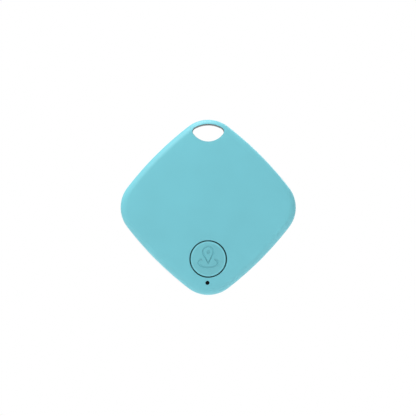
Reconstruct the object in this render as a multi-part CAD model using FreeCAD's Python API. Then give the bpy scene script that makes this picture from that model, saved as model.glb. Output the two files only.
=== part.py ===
import FreeCAD, Part
import math
import os

from FreeCAD import Vector

# A tracker tag: a flat, rounded, diamond-shaped case that hangs from a lens-shaped eye in its
# top corner. It has a round push button near its bottom corner, a tiny light window under it,
# and inside a circuit board, a thin sounder disc and a replaceable coin cell.
#
# Units are millimetres. X runs to the right as the button face is looked at, Y from the button
# face into the case, and Z up. "Depth" is measured along Y from the foremost point of the
# button face. Heights named *_z are measured from the middle of the case.

# ---------------------------------------------------------------- case
body_span = 52.0            # corner to corner, across and up
corner_radius = 9.65
side_bow = 0.74             # how far each side swells past a straight line
crown_rise = 1.0            # how far the button face falls away towards the corners
edge_round = 2.2            # outer edge, front and back
wall = 1.4
rebate_wall = 0.7           # what is left of the front wall beside the tongue
tongue_length = 1.0
seam_from_back = 4.0        # the joint between the two shells
slip_gap = 0.05             # between parts that slide together by hand
touch_gap = 0.02            # between parts that bear on each other
air_gap = 0.3               # between parts that must not meet

# ---------------------------------------------------------------- lanyard eye
eye_rim = 1.31              # material between the eye and the top corner
eye_height = 5.2
eye_top_radius = 8.2
eye_side_slope = 51.0       # of the two lower sides, in degrees
eye_bottom_radius = 5.4
eye_corner_round = 1.3
eye_edge_round = 0.2
eye_collar = 1.1            # wall round the eye, through the case
eye_shoulder = 3.7          # depth below the eye's top to which the corner is solid

# ---------------------------------------------------------------- button
button_to_light = 0.93      # material between the light window and the button's ring
button_radius = 5.22
button_ring_gap = 0.32      # the dark ring round the button
button_edge_round = 0.25
button_dome = 0.28          # swell of the middle of the button
button_dome_radius = 4.7
mark_depth = 0.18           # the pictogram is sunk this far into the button
mark_line = 0.55
mark_head_z = 2.05          # the pin's round head, above the button's centre
mark_head_radius = 1.55
mark_tip_z = -1.2
mark_eye_radius = 0.5
mark_gap = 0.25             # kept clear between the pin and the ring
mark_ground_z = -1.15       # the open ring under the pin
mark_ground_width = 5.8
mark_ground_height = 2.7
mark_ground_opening = 124.0  # degrees of the ring left open behind the pin
button_collar = 0.7
collar_height = 0.3
lug_thickness = 0.5
lug_width = 2.4
lug_reach = 0.6             # how far a lug reaches over the collar
lug_angles = (90.0, 210.0, 330.0)
rib_width = 0.9
rib_start = 0.9             # the guide ribs stay this far under the button's face
post_thickness = 0.7        # two posts beside the top lug keep the button from turning
post_length = 1.3
nub_radius = 1.2
nub_height = 0.3

# ---------------------------------------------------------------- light window
light_to_tip = 3.7
light_x = -0.23             # a little left of the middle line
light_radius = 0.6
light_recess = 0.3
light_flange_radius = 1.0
light_flange_thickness = 0.35
light_sleeve_wall = 0.65
led_width = 1.6
led_depth = 0.8
led_base_height = 0.3
led_lens_height = 0.3
led_lens_inset = 0.25
led_lens_chamfer = 0.08

# ---------------------------------------------------------------- push switch
switch_size = 4.8
switch_height = 1.5
switch_cover_thickness = 0.2
switch_cover_share = 0.6    # of a side that the cover's fold takes
switch_stem_radius = 1.2
switch_stem_round = 0.1
switch_stem_rise = 0.4      # how far the stem stands out of its cover
switch_flange_radius = 1.7
switch_flange_thickness = 0.2
switch_well_radius = 2.0
switch_floor = 0.2
dome_rise = 0.4
dome_thickness = 0.08
press_travel = 0.25
terminal_spread = 1.6
terminal_width = 0.7
terminal_reach = 0.7
terminal_thickness = 0.15

# ---------------------------------------------------------------- circuit board
board_thickness = 0.8
board_gap = 0.8             # between the board's edge and the case wall
board_top_gap = 1.0         # below the eye's collar
screw_clear = 0.15
boss_clear = 0.4

# Components on the board's front: (across, up from the cell's middle) and
# (width, height, how far it stands off the board).
chip_place, chip_size = (-5.2, 2.8), (5.0, 5.0, 0.85)
chip_dimple = 0.3
main_crystal_place, main_crystal_size = (-9.6, 3.8), (2.5, 3.2, 0.7)
clock_crystal_place, clock_crystal_size = (-4.2, -2.0), (3.2, 1.5, 0.8)
crystal_base_share = 0.55   # of a crystal's height
crystal_lid_inset = 0.2
capacitor_size = (0.5, 1.0, 0.5)
capacitor_row_start, capacitor_pitch, capacitor_count = -9.4, 1.4, 4
capacitor_rows = (7.2, -4.4)
antenna_capacitors = (1.2, -1.4)
antenna_capacitor_drop = 2.9    # below the board's top edge
resistor_size = (1.0, 0.5, 0.35)
resistor_places = ((-0.9, 4.6), (-0.9, 3.1), (-0.9, 1.6), (3.2, -5.2), (4.8, -5.2))
inductor_place, inductor_size = (4.6, 5.2), (3.0, 3.0, 1.2)
inductor_round = 0.4
bulk_place, bulk_size = (4.6, 1.1), (3.2, 1.6, 1.25)
driver_place, driver_size = (4.6, -2.2), (2.9, 1.3, 1.0)
driver_lead_size = (0.4, 0.6, 0.15)
driver_lead_spread = 0.95       # of both the leads' rows and the two leads of one row
antenna_size = (3.2, 1.6, 1.1)
antenna_drop = 1.2              # below the board's top edge

# ---------------------------------------------------------------- coin cell and its holder
cell_radius = 10.0
cell_height = 3.2
cell_metal = 0.25
cell_step = 0.2             # how far the negative cap stands out of the can
cell_cap_inset = 1.4        # of the cap's rim from the can's
cell_lip = 0.9
cell_crimp_round = 0.21
cell_cap_round = 0.2
cell_cap_share = 0.55       # how deep the cap's rim reaches, as a share of the cell
lithium_thickness = 0.6
separator_thickness = 0.1
cell_to_collar = 1.5
cell_rib_height = 0.2
cell_rib_radius = 8.0
cell_rib_width = 0.8
contact_height = 0.55       # room for the negative contact under the cell
contact_metal = 0.15
well_gap = 0.15
holder_wall = 1.35
holder_height = 3.1
holder_ear = 0.8
holder_ear_radius = 2.0
ledge_angles = (30.0, 150.0, 225.0, 315.0)
ledge_width = 3.0
nail_notch = 5.0
pin_radius = 0.45
pin_angle = 60.0
finger_plate = (3.0, 5.0)    # the negative contact's soldered plate
finger_width = 1.6
finger_root = 1.4
finger_bend = 4.2
finger_tip = 5.4
clip_width = 4.0
clip_metal = 0.2
clip_foot = 3.0
clip_height = 2.6
clip_flare = 0.5

# ---------------------------------------------------------------- screws and pegs
screw_radius = 0.8
screw_head_radius = 1.4
screw_head_height = 0.8
screw_head_round = 0.3
screw_slot_length = 1.8
screw_slot_width = 0.4
screw_slot_depth = 0.45
screw_gap = 2.4             # from the holder's wall to a screw's axis
screw_angles = (-13.0, -167.0, -45.0, -135.0)
screw_bite = 2.2
bore_spare = 0.2            # a bore is this much deeper than what goes into it
boss_radius = 1.9
peg_radius = 0.9
peg_root_radius = 1.4
peg_socket_radius = 1.6
peg_length = 1.8
socket_drop = 0.2           # from the seam down to a socket's mouth
peg_from_wall = 2.4
upper_peg_along = 3.2
lower_peg_along = 4.2

# ---------------------------------------------------------------- sounder
sounder_radius = 7.5
sounder_plate = 0.2
sounder_ceramic_radius = 5.0
sounder_ceramic = 0.2
sounder_tape = 0.1
sounder_seat_width = 1.2
sounder_seat_height = 0.3
wire_radius = 0.3
wire_spread = 1.8           # of the two leads from the middle line
wire_runs = (1.6, 1.8, 1.6) # down the disc, down to the board, down the board
live_joint_drop = 2.4       # below the disc's middle
ground_joint_drop = 1.1     # below the ceramic's edge
solder_radius = 0.7
solder_height = 0.5

# ---------------------------------------------------------------- pry notch
notch_width = 8.0
notch_height = 0.8
notch_depth = 0.9

# ---------------------------------------------------------------- worked-out sizes
half_span = body_span / 2
corner_reach = half_span - corner_radius
half_chord = corner_reach / math.sqrt(2)
half_flats = half_chord + corner_radius + side_bow
side_radius = corner_radius + (half_chord**2 + side_bow**2) / (2 * side_bow)
crown_radius = (half_span**2 + crown_rise**2) / (2 * crown_rise)

eye_top_z = half_span - eye_rim
eye_bottom_z = eye_top_z - eye_height
collar_bottom_z = eye_bottom_z - eye_collar
shoulder_z = eye_top_z - eye_shoulder
button_hole_radius = button_radius + button_ring_gap
light_z = light_to_tip - half_span
button_z = light_z + light_radius + button_to_light + button_hole_radius
cell_cap_radius = cell_radius - cell_cap_inset
holder_outer_radius = cell_radius + well_gap + holder_wall
cell_z = collar_bottom_z - cell_to_collar - holder_outer_radius
sounder_z = (button_z + button_hole_radius + button_collar + collar_bottom_z) / 2
board_top_z = collar_bottom_z - board_top_gap


def crown_depth(distance):
    """Depth of the button face at a distance from the middle of the case."""
    return crown_radius - math.sqrt(crown_radius**2 - distance**2)


# Depths, from the button face to the back, each laid on the one before it.
seat_depth = crown_depth(abs(button_z) + button_hole_radius) + wall + collar_height
lug_end = seat_depth + lug_thickness
post_end = lug_end + press_travel
stem_top = lug_end + nub_height
board_front = stem_top + switch_height
board_back = board_front + board_thickness
cell_front = board_back + contact_height
cell_back = cell_front + cell_height
rib_end = cell_back + slip_gap
back_inner = rib_end + cell_rib_height
body_thickness = back_inner + wall
seam_depth = body_thickness - seam_from_back
socket_end = seam_depth - socket_drop
peg_root = socket_end + slip_gap
peg_end = peg_root - peg_length
switch_top = board_front - switch_height + switch_stem_rise
sounder_seat = crown_depth(abs(sounder_z) + sounder_radius) + wall + sounder_seat_height
plate_front = sounder_seat + sounder_tape
plate_back = plate_front + sounder_plate
ceramic_back = plate_back + sounder_ceramic

# The frame's origin is the top of the eye, midway through the case, where a ring bears.
hang_point = Vector(0, 0, eye_top_z)

INWARD = Vector(0, 1, 0)


def place(x, z, depth):
    return Vector(x, depth - body_thickness / 2, z)


def turned(angle, distance, x=0.0, z=0.0):
    """The (x, z) place at an angle and distance from (x, z), 0 degrees to the right."""
    a = math.radians(angle)
    return x + distance * math.cos(a), z + distance * math.sin(a)


def disc(x, z, radius, start, end):
    return Part.makeCylinder(radius, end - start, place(x, z, start), INWARD)


def ring(x, z, outer, inner, start, end):
    return disc(x, z, outer, start, end).cut(disc(x, z, inner, start, end))


def block(x, z, width, height, start, end):
    return Part.makeBox(width, end - start, height, place(x - width / 2, z - height / 2, start))


def spoke(x, z, angle, inner, outer, width, start, end):
    """A bar that runs outwards from (x, z) at an angle, from one distance to another."""
    bar = Part.makeBox(outer - inner, end - start, width, place(inner, -width / 2, start))
    bar.rotate(Vector(0, 0, 0), INWARD, -angle)
    bar.translate(Vector(x, 0, z))
    return bar


def strip(points, across, from_across, axis):
    """A bent metal strip: a closed outline of (along, depth) points, drawn out sideways."""
    if axis == "x":
        corners = [place(along, from_across, depth) for along, depth in points]
        way = Vector(0, 0, across)
    else:
        corners = [place(from_across, along, depth) for along, depth in points]
        way = Vector(across, 0, 0)
    return Part.Face(Part.makePolygon(corners + corners[:1])).extrude(way)


def turning(profile, x, z):
    """A solid of revolution about the depth axis through (x, z), from (radius, depth) points."""
    corners = [place(x + radius, z, depth) for radius, depth in profile]
    face = Part.Face(Part.makePolygon(corners + corners[:1]))
    return face.revolve(place(x, z, 0), INWARD, 360)


def join(first, *others):
    return first.multiFuse(list(others)).removeSplitter()


# ---------------------------------------------------------------- case shapes


def outline(inset, depth):
    """The case's outline as a wire, moved inwards: four corner arcs and four bowed sides."""
    edges = []
    for quarter in range(4):
        corner = turned(90 * quarter, corner_reach)
        across = turned(90 * quarter + 45, -(side_radius - half_flats))
        before = turned(90 * quarter - 45, -(side_radius - half_flats))
        angle_out = math.degrees(math.atan2(corner[1] - across[1], corner[0] - across[0]))
        angle_in = math.degrees(math.atan2(corner[1] - before[1], corner[0] - before[0]))
        corner_arc = [
            turned(a, corner_radius - inset, *corner)
            for a in (angle_in, 90 * quarter, angle_out)
        ]
        following = turned(90 * quarter + 90, corner_reach)
        angle_far = math.degrees(math.atan2(following[1] - across[1], following[0] - across[0]))
        side_arc = [
            turned(a, side_radius - inset, *across)
            for a in (angle_out, 90 * quarter + 45, angle_far)
        ]
        for arc in (corner_arc, side_arc):
            edges.append(Part.Arc(*[place(x, z, depth) for x, z in arc]).toShape())
    return Part.Wire(edges)


def slab(inset, start, end):
    return Part.Face(outline(inset, start)).extrude(Vector(0, end - start, 0))


def pillow(inset):
    """The whole case's outer shape moved inwards: crowned front, flat back, round edges."""
    back = body_thickness - inset
    crown = Part.makeSphere(crown_radius - inset, place(0, 0, crown_radius))
    solid = slab(inset, -1.0, back).common(crown)
    rounding = edge_round - inset
    if rounding > slip_gap:
        bent = [e for e in solid.Edges if not isinstance(e.Curve, Part.Line)]
        solid = solid.makeFillet(rounding, bent)
    return solid


def eye_bar(grow, start, end):
    """A bar of the eye's shape, grown: a round-bottomed V closed by an arc over the top."""
    slope = math.radians(eye_side_slope)
    tip_z = eye_bottom_z + eye_bottom_radius - (eye_bottom_radius + grow) / math.cos(slope)
    top_z = tip_z + half_span * math.tan(slope)
    corners = [place(x, z, start) for x, z in ((0, tip_z), (half_span, top_z), (-half_span, top_z))]
    vee = Part.Face(Part.makePolygon(corners + corners[:1])).extrude(Vector(0, end - start, 0))
    vee = vee.makeFillet(eye_bottom_radius + grow, through_edges(vee, lambda x: abs(x) < 1))
    both = vee.common(disc(0, eye_top_z - eye_top_radius, eye_top_radius + grow, start, end))
    smooth_x = (eye_bottom_radius + grow) * math.sin(slope)
    sharp = through_edges(both, lambda x: abs(x) > smooth_x + slip_gap)
    return both.makeFillet(eye_corner_round + grow, sharp)


def through_edges(shape, wanted):
    """The straight edges that run along the depth axis where wanted(x) holds."""
    return [e for e in shape.Edges if isinstance(e.Curve, Part.Line)
            and abs(e.tangentAt(e.FirstParameter).y) > 0.9 and wanted(e.CenterOfMass.x)]


def above(z, start, end):
    return block(0, z + half_span, 2 * body_span, body_span, start, end)


def case_stock():
    """Both shells in one: the outer shape, hollowed, with the eye through its solid corner."""
    hollow = pillow(wall)
    hollow = hollow.cut(eye_bar(eye_collar, -1, body_thickness + 1))
    hollow = hollow.cut(above(shoulder_z, -1, body_thickness + 1))
    return pillow(0).cut(hollow).cut(eye_bar(0, -1, body_thickness + 1))


def half_case(stock, start, end):
    """One shell's share of the case, with the eye's outer edge rounded."""
    half = stock.common(block(0, 0, 2 * body_span, 2 * body_span, start, end))
    seam = place(0, 0, seam_depth).y
    walls = [f for f in eye_bar(0, -1, body_thickness + 1).Faces
             if f.BoundBox.YLength > body_thickness]
    rims = []
    for edge in half.Edges:
        middle = edge.valueAt((edge.FirstParameter + edge.LastParameter) / 2)
        runs_round = abs(edge.tangentAt(edge.FirstParameter).y) < 0.9
        on_eye = any(f.distToShape(Part.Vertex(middle))[0] < 0.001 for f in walls)
        if on_eye and runs_round and abs(middle.y - seam) > wall:
            rims.append(edge)
    return half.makeFillet(eye_edge_round, rims)


def beside_eye(shape, gap):
    """Cuts a perimeter feature short where the eye's collar and the solid corner are."""
    shape = shape.cut(eye_bar(eye_collar + gap, 0, body_thickness))
    return shape.cut(above(shoulder_z - gap, 0, body_thickness))


def peg_places():
    """Four pegs beside the sides, the upper two towards the eye, the lower two to the button."""
    away = half_flats - wall - peg_from_wall
    found = []
    for side in (1, -1):
        x, z = away - upper_peg_along, away + upper_peg_along
        found.append((side * x / math.sqrt(2), z / math.sqrt(2)))
        x, z = away - lower_peg_along, away + lower_peg_along
        found.append((side * x / math.sqrt(2), -z / math.sqrt(2)))
    return found


def screw_places():
    return [turned(a, holder_outer_radius + screw_gap, 0, cell_z) for a in screw_angles]


def front_shell(stock):
    half = half_case(stock, -wall, seam_depth)
    root = 0
    features = [
        disc(0, button_z, button_hole_radius + button_collar, root, seat_depth),
        disc(light_x, light_z, light_radius + light_sleeve_wall, root, seat_depth),
        ring(0, sounder_z, sounder_radius + slip_gap, sounder_radius - sounder_seat_width,
             root, sounder_seat),
    ]
    post_z = button_z + button_hole_radius + button_collar / 2
    for side in (1, -1):
        x = side * (lug_width / 2 + slip_gap + post_thickness / 2)
        features.append(block(x, post_z, post_thickness, post_length, root, post_end))
    for x, z in screw_places():
        features.append(disc(x, z, boss_radius, root, board_front))
    for x, z in peg_places():
        features.append(disc(x, z, peg_socket_radius, root, socket_end))
    inside = pillow(wall / 2)
    shell = half.multiFuse([f.common(inside) for f in features]).removeSplitter()
    rebate = slab(rebate_wall, seam_depth - tongue_length - slip_gap, seam_depth)
    rebate = rebate.cut(slab(wall + slip_gap, 0, body_thickness))
    shell = shell.cut(beside_eye(rebate, 0))
    shell = shell.cut(disc(0, button_z, button_hole_radius, 0, post_end))
    shell = shell.cut(disc(light_x, light_z, light_radius, 0, seat_depth))
    for x, z in screw_places():
        pilot = screw_radius + touch_gap
        deep = board_front - screw_bite - bore_spare
        shell = shell.cut(disc(x, z, pilot, deep, board_front))
    for x, z in peg_places():
        bore = peg_radius + slip_gap
        shell = shell.cut(disc(x, z, bore, peg_end - bore_spare, seam_depth))
    return shell


def back_shell(stock):
    half = half_case(stock, seam_depth, body_thickness + wall)
    tongue = slab(rebate_wall + slip_gap, seam_depth - tongue_length, seam_depth)
    tongue = tongue.cut(slab(wall, 0, body_thickness))
    root = body_thickness - wall / 2
    features = [
        beside_eye(tongue, slip_gap),
        ring(0, cell_z, cell_rib_radius + cell_rib_width / 2,
             cell_rib_radius - cell_rib_width / 2, rib_end, root),
    ]
    for x, z in peg_places():
        features.append(disc(x, z, peg_root_radius, peg_root, root))
        features.append(disc(x, z, peg_radius, peg_end, root))
    shell = join(half, *features)
    notch = Part.makeBox(notch_width, notch_height, 2 * notch_depth,
                         place(-notch_width / 2, half_flats - notch_depth, seam_depth))
    notch.rotate(Vector(0, 0, 0), INWARD, 135)
    return shell.cut(notch)


# ---------------------------------------------------------------- button and light window


def pin_outline(grow):
    """A map pin's shape, grown: a round head whose sides run straight down to a tip."""
    radius = mark_head_radius + grow
    drop = mark_head_z - mark_tip_z
    side = math.acos(mark_head_radius / drop)
    right, left = [turned(-90 + s * math.degrees(side), radius, 0, mark_head_z) for s in (1, -1)]
    tip = (0, mark_tip_z - grow * drop / mark_head_radius)
    top = turned(90, radius, 0, mark_head_z)
    right, left, top, tip = [place(x, z, 0) for x, z in (right, left, top, tip)]
    edges = [Part.Arc(right, top, left).toShape(), Part.LineSegment(left, tip).toShape(),
             Part.LineSegment(tip, right).toShape()]
    return Part.Face(Part.Wire(edges))


def ground_outline(grow):
    wide = mark_ground_width / 2 + grow
    tall = mark_ground_height / 2 + grow
    curve = Part.Ellipse(place(wide, mark_ground_z, 0), place(0, mark_ground_z + tall, 0),
                         place(0, mark_ground_z, 0))
    return Part.Face(Part.Wire(curve.toShape()))


def pictogram():
    """Sunk lines: a map pin with an eye, over a ground ring that is open behind the pin."""
    half = mark_line / 2
    ground = ground_outline(half).cut(ground_outline(-half))
    reach = mark_ground_width
    spread = reach * math.tan(math.radians(mark_ground_opening / 2))
    corners = [place(x, mark_ground_z + z, 0) for x, z in ((0, 0), (spread, reach), (-spread, reach))]
    ground = ground.cut(Part.Face(Part.makePolygon(corners + corners[:1])))
    pin = pin_outline(half).cut(pin_outline(-half))
    ground = ground.cut(pin_outline(half + mark_gap))
    thick = 2 * wall
    lines = [f.extrude(Vector(0, thick, 0)) for f in pin.Faces + ground.Faces]
    lines.append(disc(0, mark_head_z, mark_eye_radius, 0, thick))
    lines = Part.makeCompound(lines)
    lines.translate(Vector(0, -wall, button_z))
    return lines


def button_cap():
    cap = disc(0, button_z, button_radius, -1, lug_end)
    crown = Part.makeSphere(crown_radius, place(0, 0, crown_radius))
    cap = cap.common(crown)
    rim = [e for e in cap.Edges if e.CenterOfMass.y < place(0, 0, wall).y
           and not isinstance(e.Curve, Part.Line)]
    cap = cap.makeFillet(button_edge_round, rim)
    swell_radius = (button_dome_radius**2 + button_dome**2) / (2 * button_dome)
    face = crown_depth(abs(button_z))
    swell = Part.makeSphere(swell_radius, place(0, button_z, face - button_dome + swell_radius))
    swell = swell.common(disc(0, button_z, button_dome_radius, face - 1, wall))
    floor = Part.makeSphere(swell_radius - mark_depth,
                            place(0, button_z, face - button_dome + swell_radius))
    lines = pictogram().cut(floor)
    tilt = math.degrees(math.asin(abs(button_z) / crown_radius))
    for shape in (swell, lines):
        shape.rotate(place(0, button_z, face), Vector(1, 0, 0), tilt)
    ribs = [
        spoke(0, button_z, a, nub_radius, button_hole_radius - slip_gap, rib_width,
              crown_depth(abs(button_z) + button_radius) + rib_start, lug_end)
        for a in lug_angles
    ]
    lugs = [
        spoke(0, button_z, a, nub_radius, button_hole_radius + lug_reach, lug_width,
              seat_depth + touch_gap, lug_end)
        for a in lug_angles
    ]
    nub = disc(0, button_z, nub_radius, lug_end - 0.2, stem_top - touch_gap)
    return join(cap, swell, nub, *ribs, *lugs).cut(lines)


def light_guide():
    tip = crown_depth(abs(light_z)) + light_recess
    radius = light_radius - slip_gap
    end = board_front - led_base_height - led_lens_height - slip_gap
    rod = disc(light_x, light_z, radius, tip, end)
    flange = disc(light_x, light_z, light_flange_radius, seat_depth + touch_gap,
                  seat_depth + light_flange_thickness)
    return join(rod, flange)


def led_base():
    return block(light_x, light_z, led_width, led_depth, board_front - led_base_height, board_front)


def led_lens():
    top = board_front - led_base_height
    lens_block = block(light_x, light_z, led_width - 2 * led_lens_inset, led_depth,
                       top - led_lens_height, top)
    sharp = [e for e in lens_block.Edges
             if e.CenterOfMass.y < place(0, 0, top - led_lens_height / 2).y]
    return lens_block.makeChamfer(led_lens_chamfer, sharp)


# ---------------------------------------------------------------- push switch


def switch_base():
    top = switch_top + switch_cover_thickness
    base = block(0, button_z, switch_size, switch_size, top, board_front)
    return base.cut(disc(0, button_z, switch_well_radius, top - 1, board_front - switch_floor))


def switch_cover():
    """A pressed cover: a flat plate with the stem's hole, folded down over two sides."""
    fold = switch_cover_thickness
    size = switch_size
    plate = block(0, button_z, size + 2 * fold, size, switch_top, switch_top + fold)
    plate = plate.cut(disc(0, button_z, switch_stem_radius + slip_gap, 0, board_front))
    sides = [
        block(side * (size + fold) / 2, button_z, fold, size * switch_cover_share, switch_top,
              board_front - air_gap)
        for side in (1, -1)
    ]
    return join(plate, *sides)


def switch_plunger():
    under = switch_top + switch_cover_thickness + touch_gap
    stem = disc(0, button_z, switch_stem_radius, stem_top, under + switch_flange_thickness)
    top = [e for e in stem.Edges if e.CenterOfMass.y < place(0, 0, stem_top + 0.01).y]
    stem = stem.makeFillet(switch_stem_round, top)
    flange = disc(0, button_z, switch_flange_radius, under, under + switch_flange_thickness)
    return join(stem, flange)


def switch_dome():
    """The snap dome under the plunger: a thin, shallow cap of sprung metal."""
    rim = board_front - switch_floor - touch_gap
    width = switch_well_radius - slip_gap
    radius = (width**2 + dome_rise**2) / (2 * dome_rise)
    middle = place(0, button_z, rim - dome_rise + radius)
    cap = Part.makeSphere(radius, middle).cut(Part.makeSphere(radius - dome_thickness, middle))
    return cap.common(disc(0, button_z, width + 1, rim - dome_rise - 0.1, rim))


def switch_terminals():
    legs = []
    half = switch_size / 2
    for side in (1, -1):
        for up in (1, -1):
            z = button_z + up * half
            foot = block(side * terminal_spread, z + up * terminal_reach / 2, terminal_width, terminal_reach,
                         board_front - terminal_thickness, board_front)
            legs.append(foot)
    return Part.makeCompound(legs)


# ---------------------------------------------------------------- circuit board and its parts


def circuit_board():
    board = slab(wall + board_gap, board_front, board_back)
    board = board.cut(above(board_top_z, 0, body_thickness))
    for x, z in peg_places():
        board = board.cut(disc(x, z, peg_socket_radius + boss_clear, 0, body_thickness))
    for x, z in screw_places():
        board = board.cut(disc(x, z, screw_radius + screw_clear, 0, body_thickness))
    for side in (1, -1):
        x, z = turned(90 + side * (90 - pin_angle), holder_outer_radius - holder_wall / 2, 0, cell_z)
        board = board.cut(disc(x, z, pin_radius + slip_gap, 0, body_thickness))
    return board


def mounted(middle, size):
    """A box-shaped component on the board's front, placed from the cell's middle."""
    (x, up), (width, height, tall) = middle, size
    return block(x, cell_z + up, width, height, board_front - tall, board_front)


def bluetooth_chip():
    (x, up), (width, height, tall) = chip_place, chip_size
    front = board_front - tall
    pin_one = disc(x - width / 2 + 2 * chip_dimple, cell_z + up + height / 2 - 2 * chip_dimple,
                   chip_dimple, front, front + slip_gap)
    return mounted(chip_place, chip_size).cut(pin_one)


def crystal(middle, size):
    """A metal can on a wider ceramic base."""
    width, height, tall = size
    base = mounted(middle, (width, height, tall * crystal_base_share))
    inset = 2 * crystal_lid_inset
    return join(base, mounted(middle, (width - inset, height - inset, tall)))


def capacitors():
    columns = [capacitor_row_start + capacitor_pitch * n for n in range(capacitor_count)]
    places = [(x, up) for x in columns for up in capacitor_rows]
    by_antenna = board_top_z - cell_z - antenna_capacitor_drop
    places += [(x, by_antenna) for x in antenna_capacitors]
    return Part.makeCompound([mounted(at, capacitor_size) for at in places])


def resistors():
    return Part.makeCompound([mounted(at, resistor_size) for at in resistor_places])


def boost_inductor():
    body = mounted(inductor_place, inductor_size)
    upright = [e for e in body.Edges if isinstance(e.Curve, Part.Line)
               and abs(e.tangentAt(e.FirstParameter).y) > 0.9]
    return body.makeFillet(inductor_round, upright)


def bulk_capacitor():
    return mounted(bulk_place, bulk_size)


def buzzer_driver():
    return mounted(driver_place, driver_size)


def driver_leads():
    x, up = driver_place
    spread = driver_lead_spread
    places = [(x - spread, up - spread), (x + spread, up - spread), (x, up + spread)]
    return Part.makeCompound([mounted(at, driver_lead_size) for at in places])


def chip_antenna():
    width, height, tall = antenna_size
    return block(0, board_top_z - antenna_drop, width, height, board_front - tall, board_front)


# ---------------------------------------------------------------- sounder


def sounder_tape_ring():
    return ring(0, sounder_z, sounder_radius, sounder_radius - sounder_seat_width,
                sounder_seat, plate_front)


def sounder_disc():
    return disc(0, sounder_z, sounder_radius, plate_front, plate_back)


def sounder_element():
    return disc(0, sounder_z, sounder_ceramic_radius, plate_back, ceramic_back)


def wire_stops(x, top_z, surface):
    """A lead's route, as (z, depth): along the disc, down to the board, along the board."""
    near = surface + wire_radius + touch_gap
    far = board_front - wire_radius - touch_gap
    along, slope, end = wire_runs
    return x, [(top_z, near), (top_z - along, near), (top_z - along - slope, far),
               (top_z - along - slope - end, far)]


def lead_routes():
    live = wire_stops(wire_spread, sounder_z - live_joint_drop, ceramic_back)
    low = sounder_z - sounder_ceramic_radius - ground_joint_drop
    ground = wire_stops(-wire_spread, low, plate_back)
    return live, ground


def lead(route):
    """A round wire along straight runs joined by arcs that touch them."""
    x, stops = route
    points = [place(x, z, depth) for z, depth in stops]
    edges, start = [], points[0]
    for before, corner, after in zip(points, points[1:], points[2:]):
        run_in, run_out = before - corner, after - corner
        turn = math.pi - run_in.getAngle(run_out)
        shorter = min(run_in.Length, run_out.Length)
        back_off = 0.45 * shorter
        radius = back_off / math.tan(turn / 2)
        first = corner + run_in.normalize() * back_off
        last = corner + run_out.normalize() * back_off
        inner = (run_in + run_out).normalize()
        middle = corner + inner * (math.hypot(back_off, radius) - radius)
        edges += [Part.LineSegment(start, first).toShape(), Part.Arc(first, middle, last).toShape()]
        start = last
    edges.append(Part.LineSegment(start, points[-1]).toShape())
    path = Part.Wire(edges)
    section = Part.Wire(Part.Circle(points[0], points[1] - points[0], wire_radius).toShape())
    solid = path.makePipeShell([section], True, False)
    expected = math.pi * wire_radius**2 * path.Length
    print("lead: volume %.4f, section times length %.4f" % (solid.Volume, expected))
    return solid


def solder_blob(x, z, surface, facing):
    """A low dome of solder standing on a surface, facing the back (1) or the front (-1)."""
    radius = (solder_radius**2 + solder_height**2) / (2 * solder_height)
    ball = Part.makeSphere(radius, place(x, z, surface + facing * (solder_height - radius)))
    ends = sorted((surface, surface + facing * (solder_height + 0.1)))
    return ball.common(disc(x, z, solder_radius + 0.1, *ends))


def solder_joints(leads):
    blobs = []
    for (x, stops), surface in zip(lead_routes(), (ceramic_back, plate_back)):
        blobs.append(solder_blob(x, stops[0][0], surface, 1))
        blobs.append(solder_blob(x, stops[-1][0], board_front, -1))
    return Part.makeCompound([b.cut(leads[0]).cut(leads[1]) for b in blobs])


# ---------------------------------------------------------------- coin cell


def cell_can():
    """The positive can: its face looks at the back shell, its lip is crimped over the seal."""
    front = cell_front + cell_step
    inner = cell_radius - cell_metal
    can = turning([(0, cell_back), (cell_radius, cell_back), (cell_radius, front),
                   (cell_radius - cell_lip, front), (cell_radius - cell_lip, front + cell_metal),
                   (inner, front + cell_metal), (inner, cell_back - cell_metal),
                   (0, cell_back - cell_metal)], 0, cell_z)
    rims = [e for e in can.Edges if isinstance(e.Curve, Part.Circle)
            and abs(e.Curve.Radius - cell_radius) < 0.01]
    return can.makeFillet(cell_crimp_round, rims)


def cell_cap():
    inner = cell_cap_radius - cell_metal
    deep = cell_front + cell_height * cell_cap_share
    cap = turning([(0, cell_front), (cell_cap_radius, cell_front), (cell_cap_radius, deep),
                   (inner, deep), (inner, cell_front + cell_metal),
                   (0, cell_front + cell_metal)], 0, cell_z)
    rims = [e for e in cap.Edges if isinstance(e.Curve, Part.Circle)
            and e.CenterOfMass.y < place(0, 0, cell_front + 0.01).y
            and abs(e.Curve.Radius - cell_cap_radius) < 0.01]
    return cap.makeFillet(cell_cap_round, rims)


def cell_seal():
    inner = cell_cap_radius + touch_gap
    lip = cell_radius - cell_lip - touch_gap
    outer = cell_radius - cell_metal - touch_gap
    front = cell_front + cell_step + touch_gap
    under = front + cell_metal
    end = cell_back - cell_metal - touch_gap
    return turning([(inner, front), (lip, front), (lip, under), (outer, under), (outer, end),
                    (inner, end)], 0, cell_z)


def cell_layers():
    """What the cell holds, from its cap to its can: lithium, separator and cathode."""
    radius = cell_cap_radius - cell_metal - slip_gap
    top = cell_front + cell_metal + touch_gap
    end = cell_back - cell_metal - touch_gap
    lithium_end = top + lithium_thickness
    paper_end = lithium_end + separator_thickness
    return (disc(0, cell_z, radius, top, lithium_end),
            disc(0, cell_z, radius, lithium_end, paper_end),
            disc(0, cell_z, radius - air_gap, paper_end, end))


# ---------------------------------------------------------------- cell holder and contacts


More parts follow.
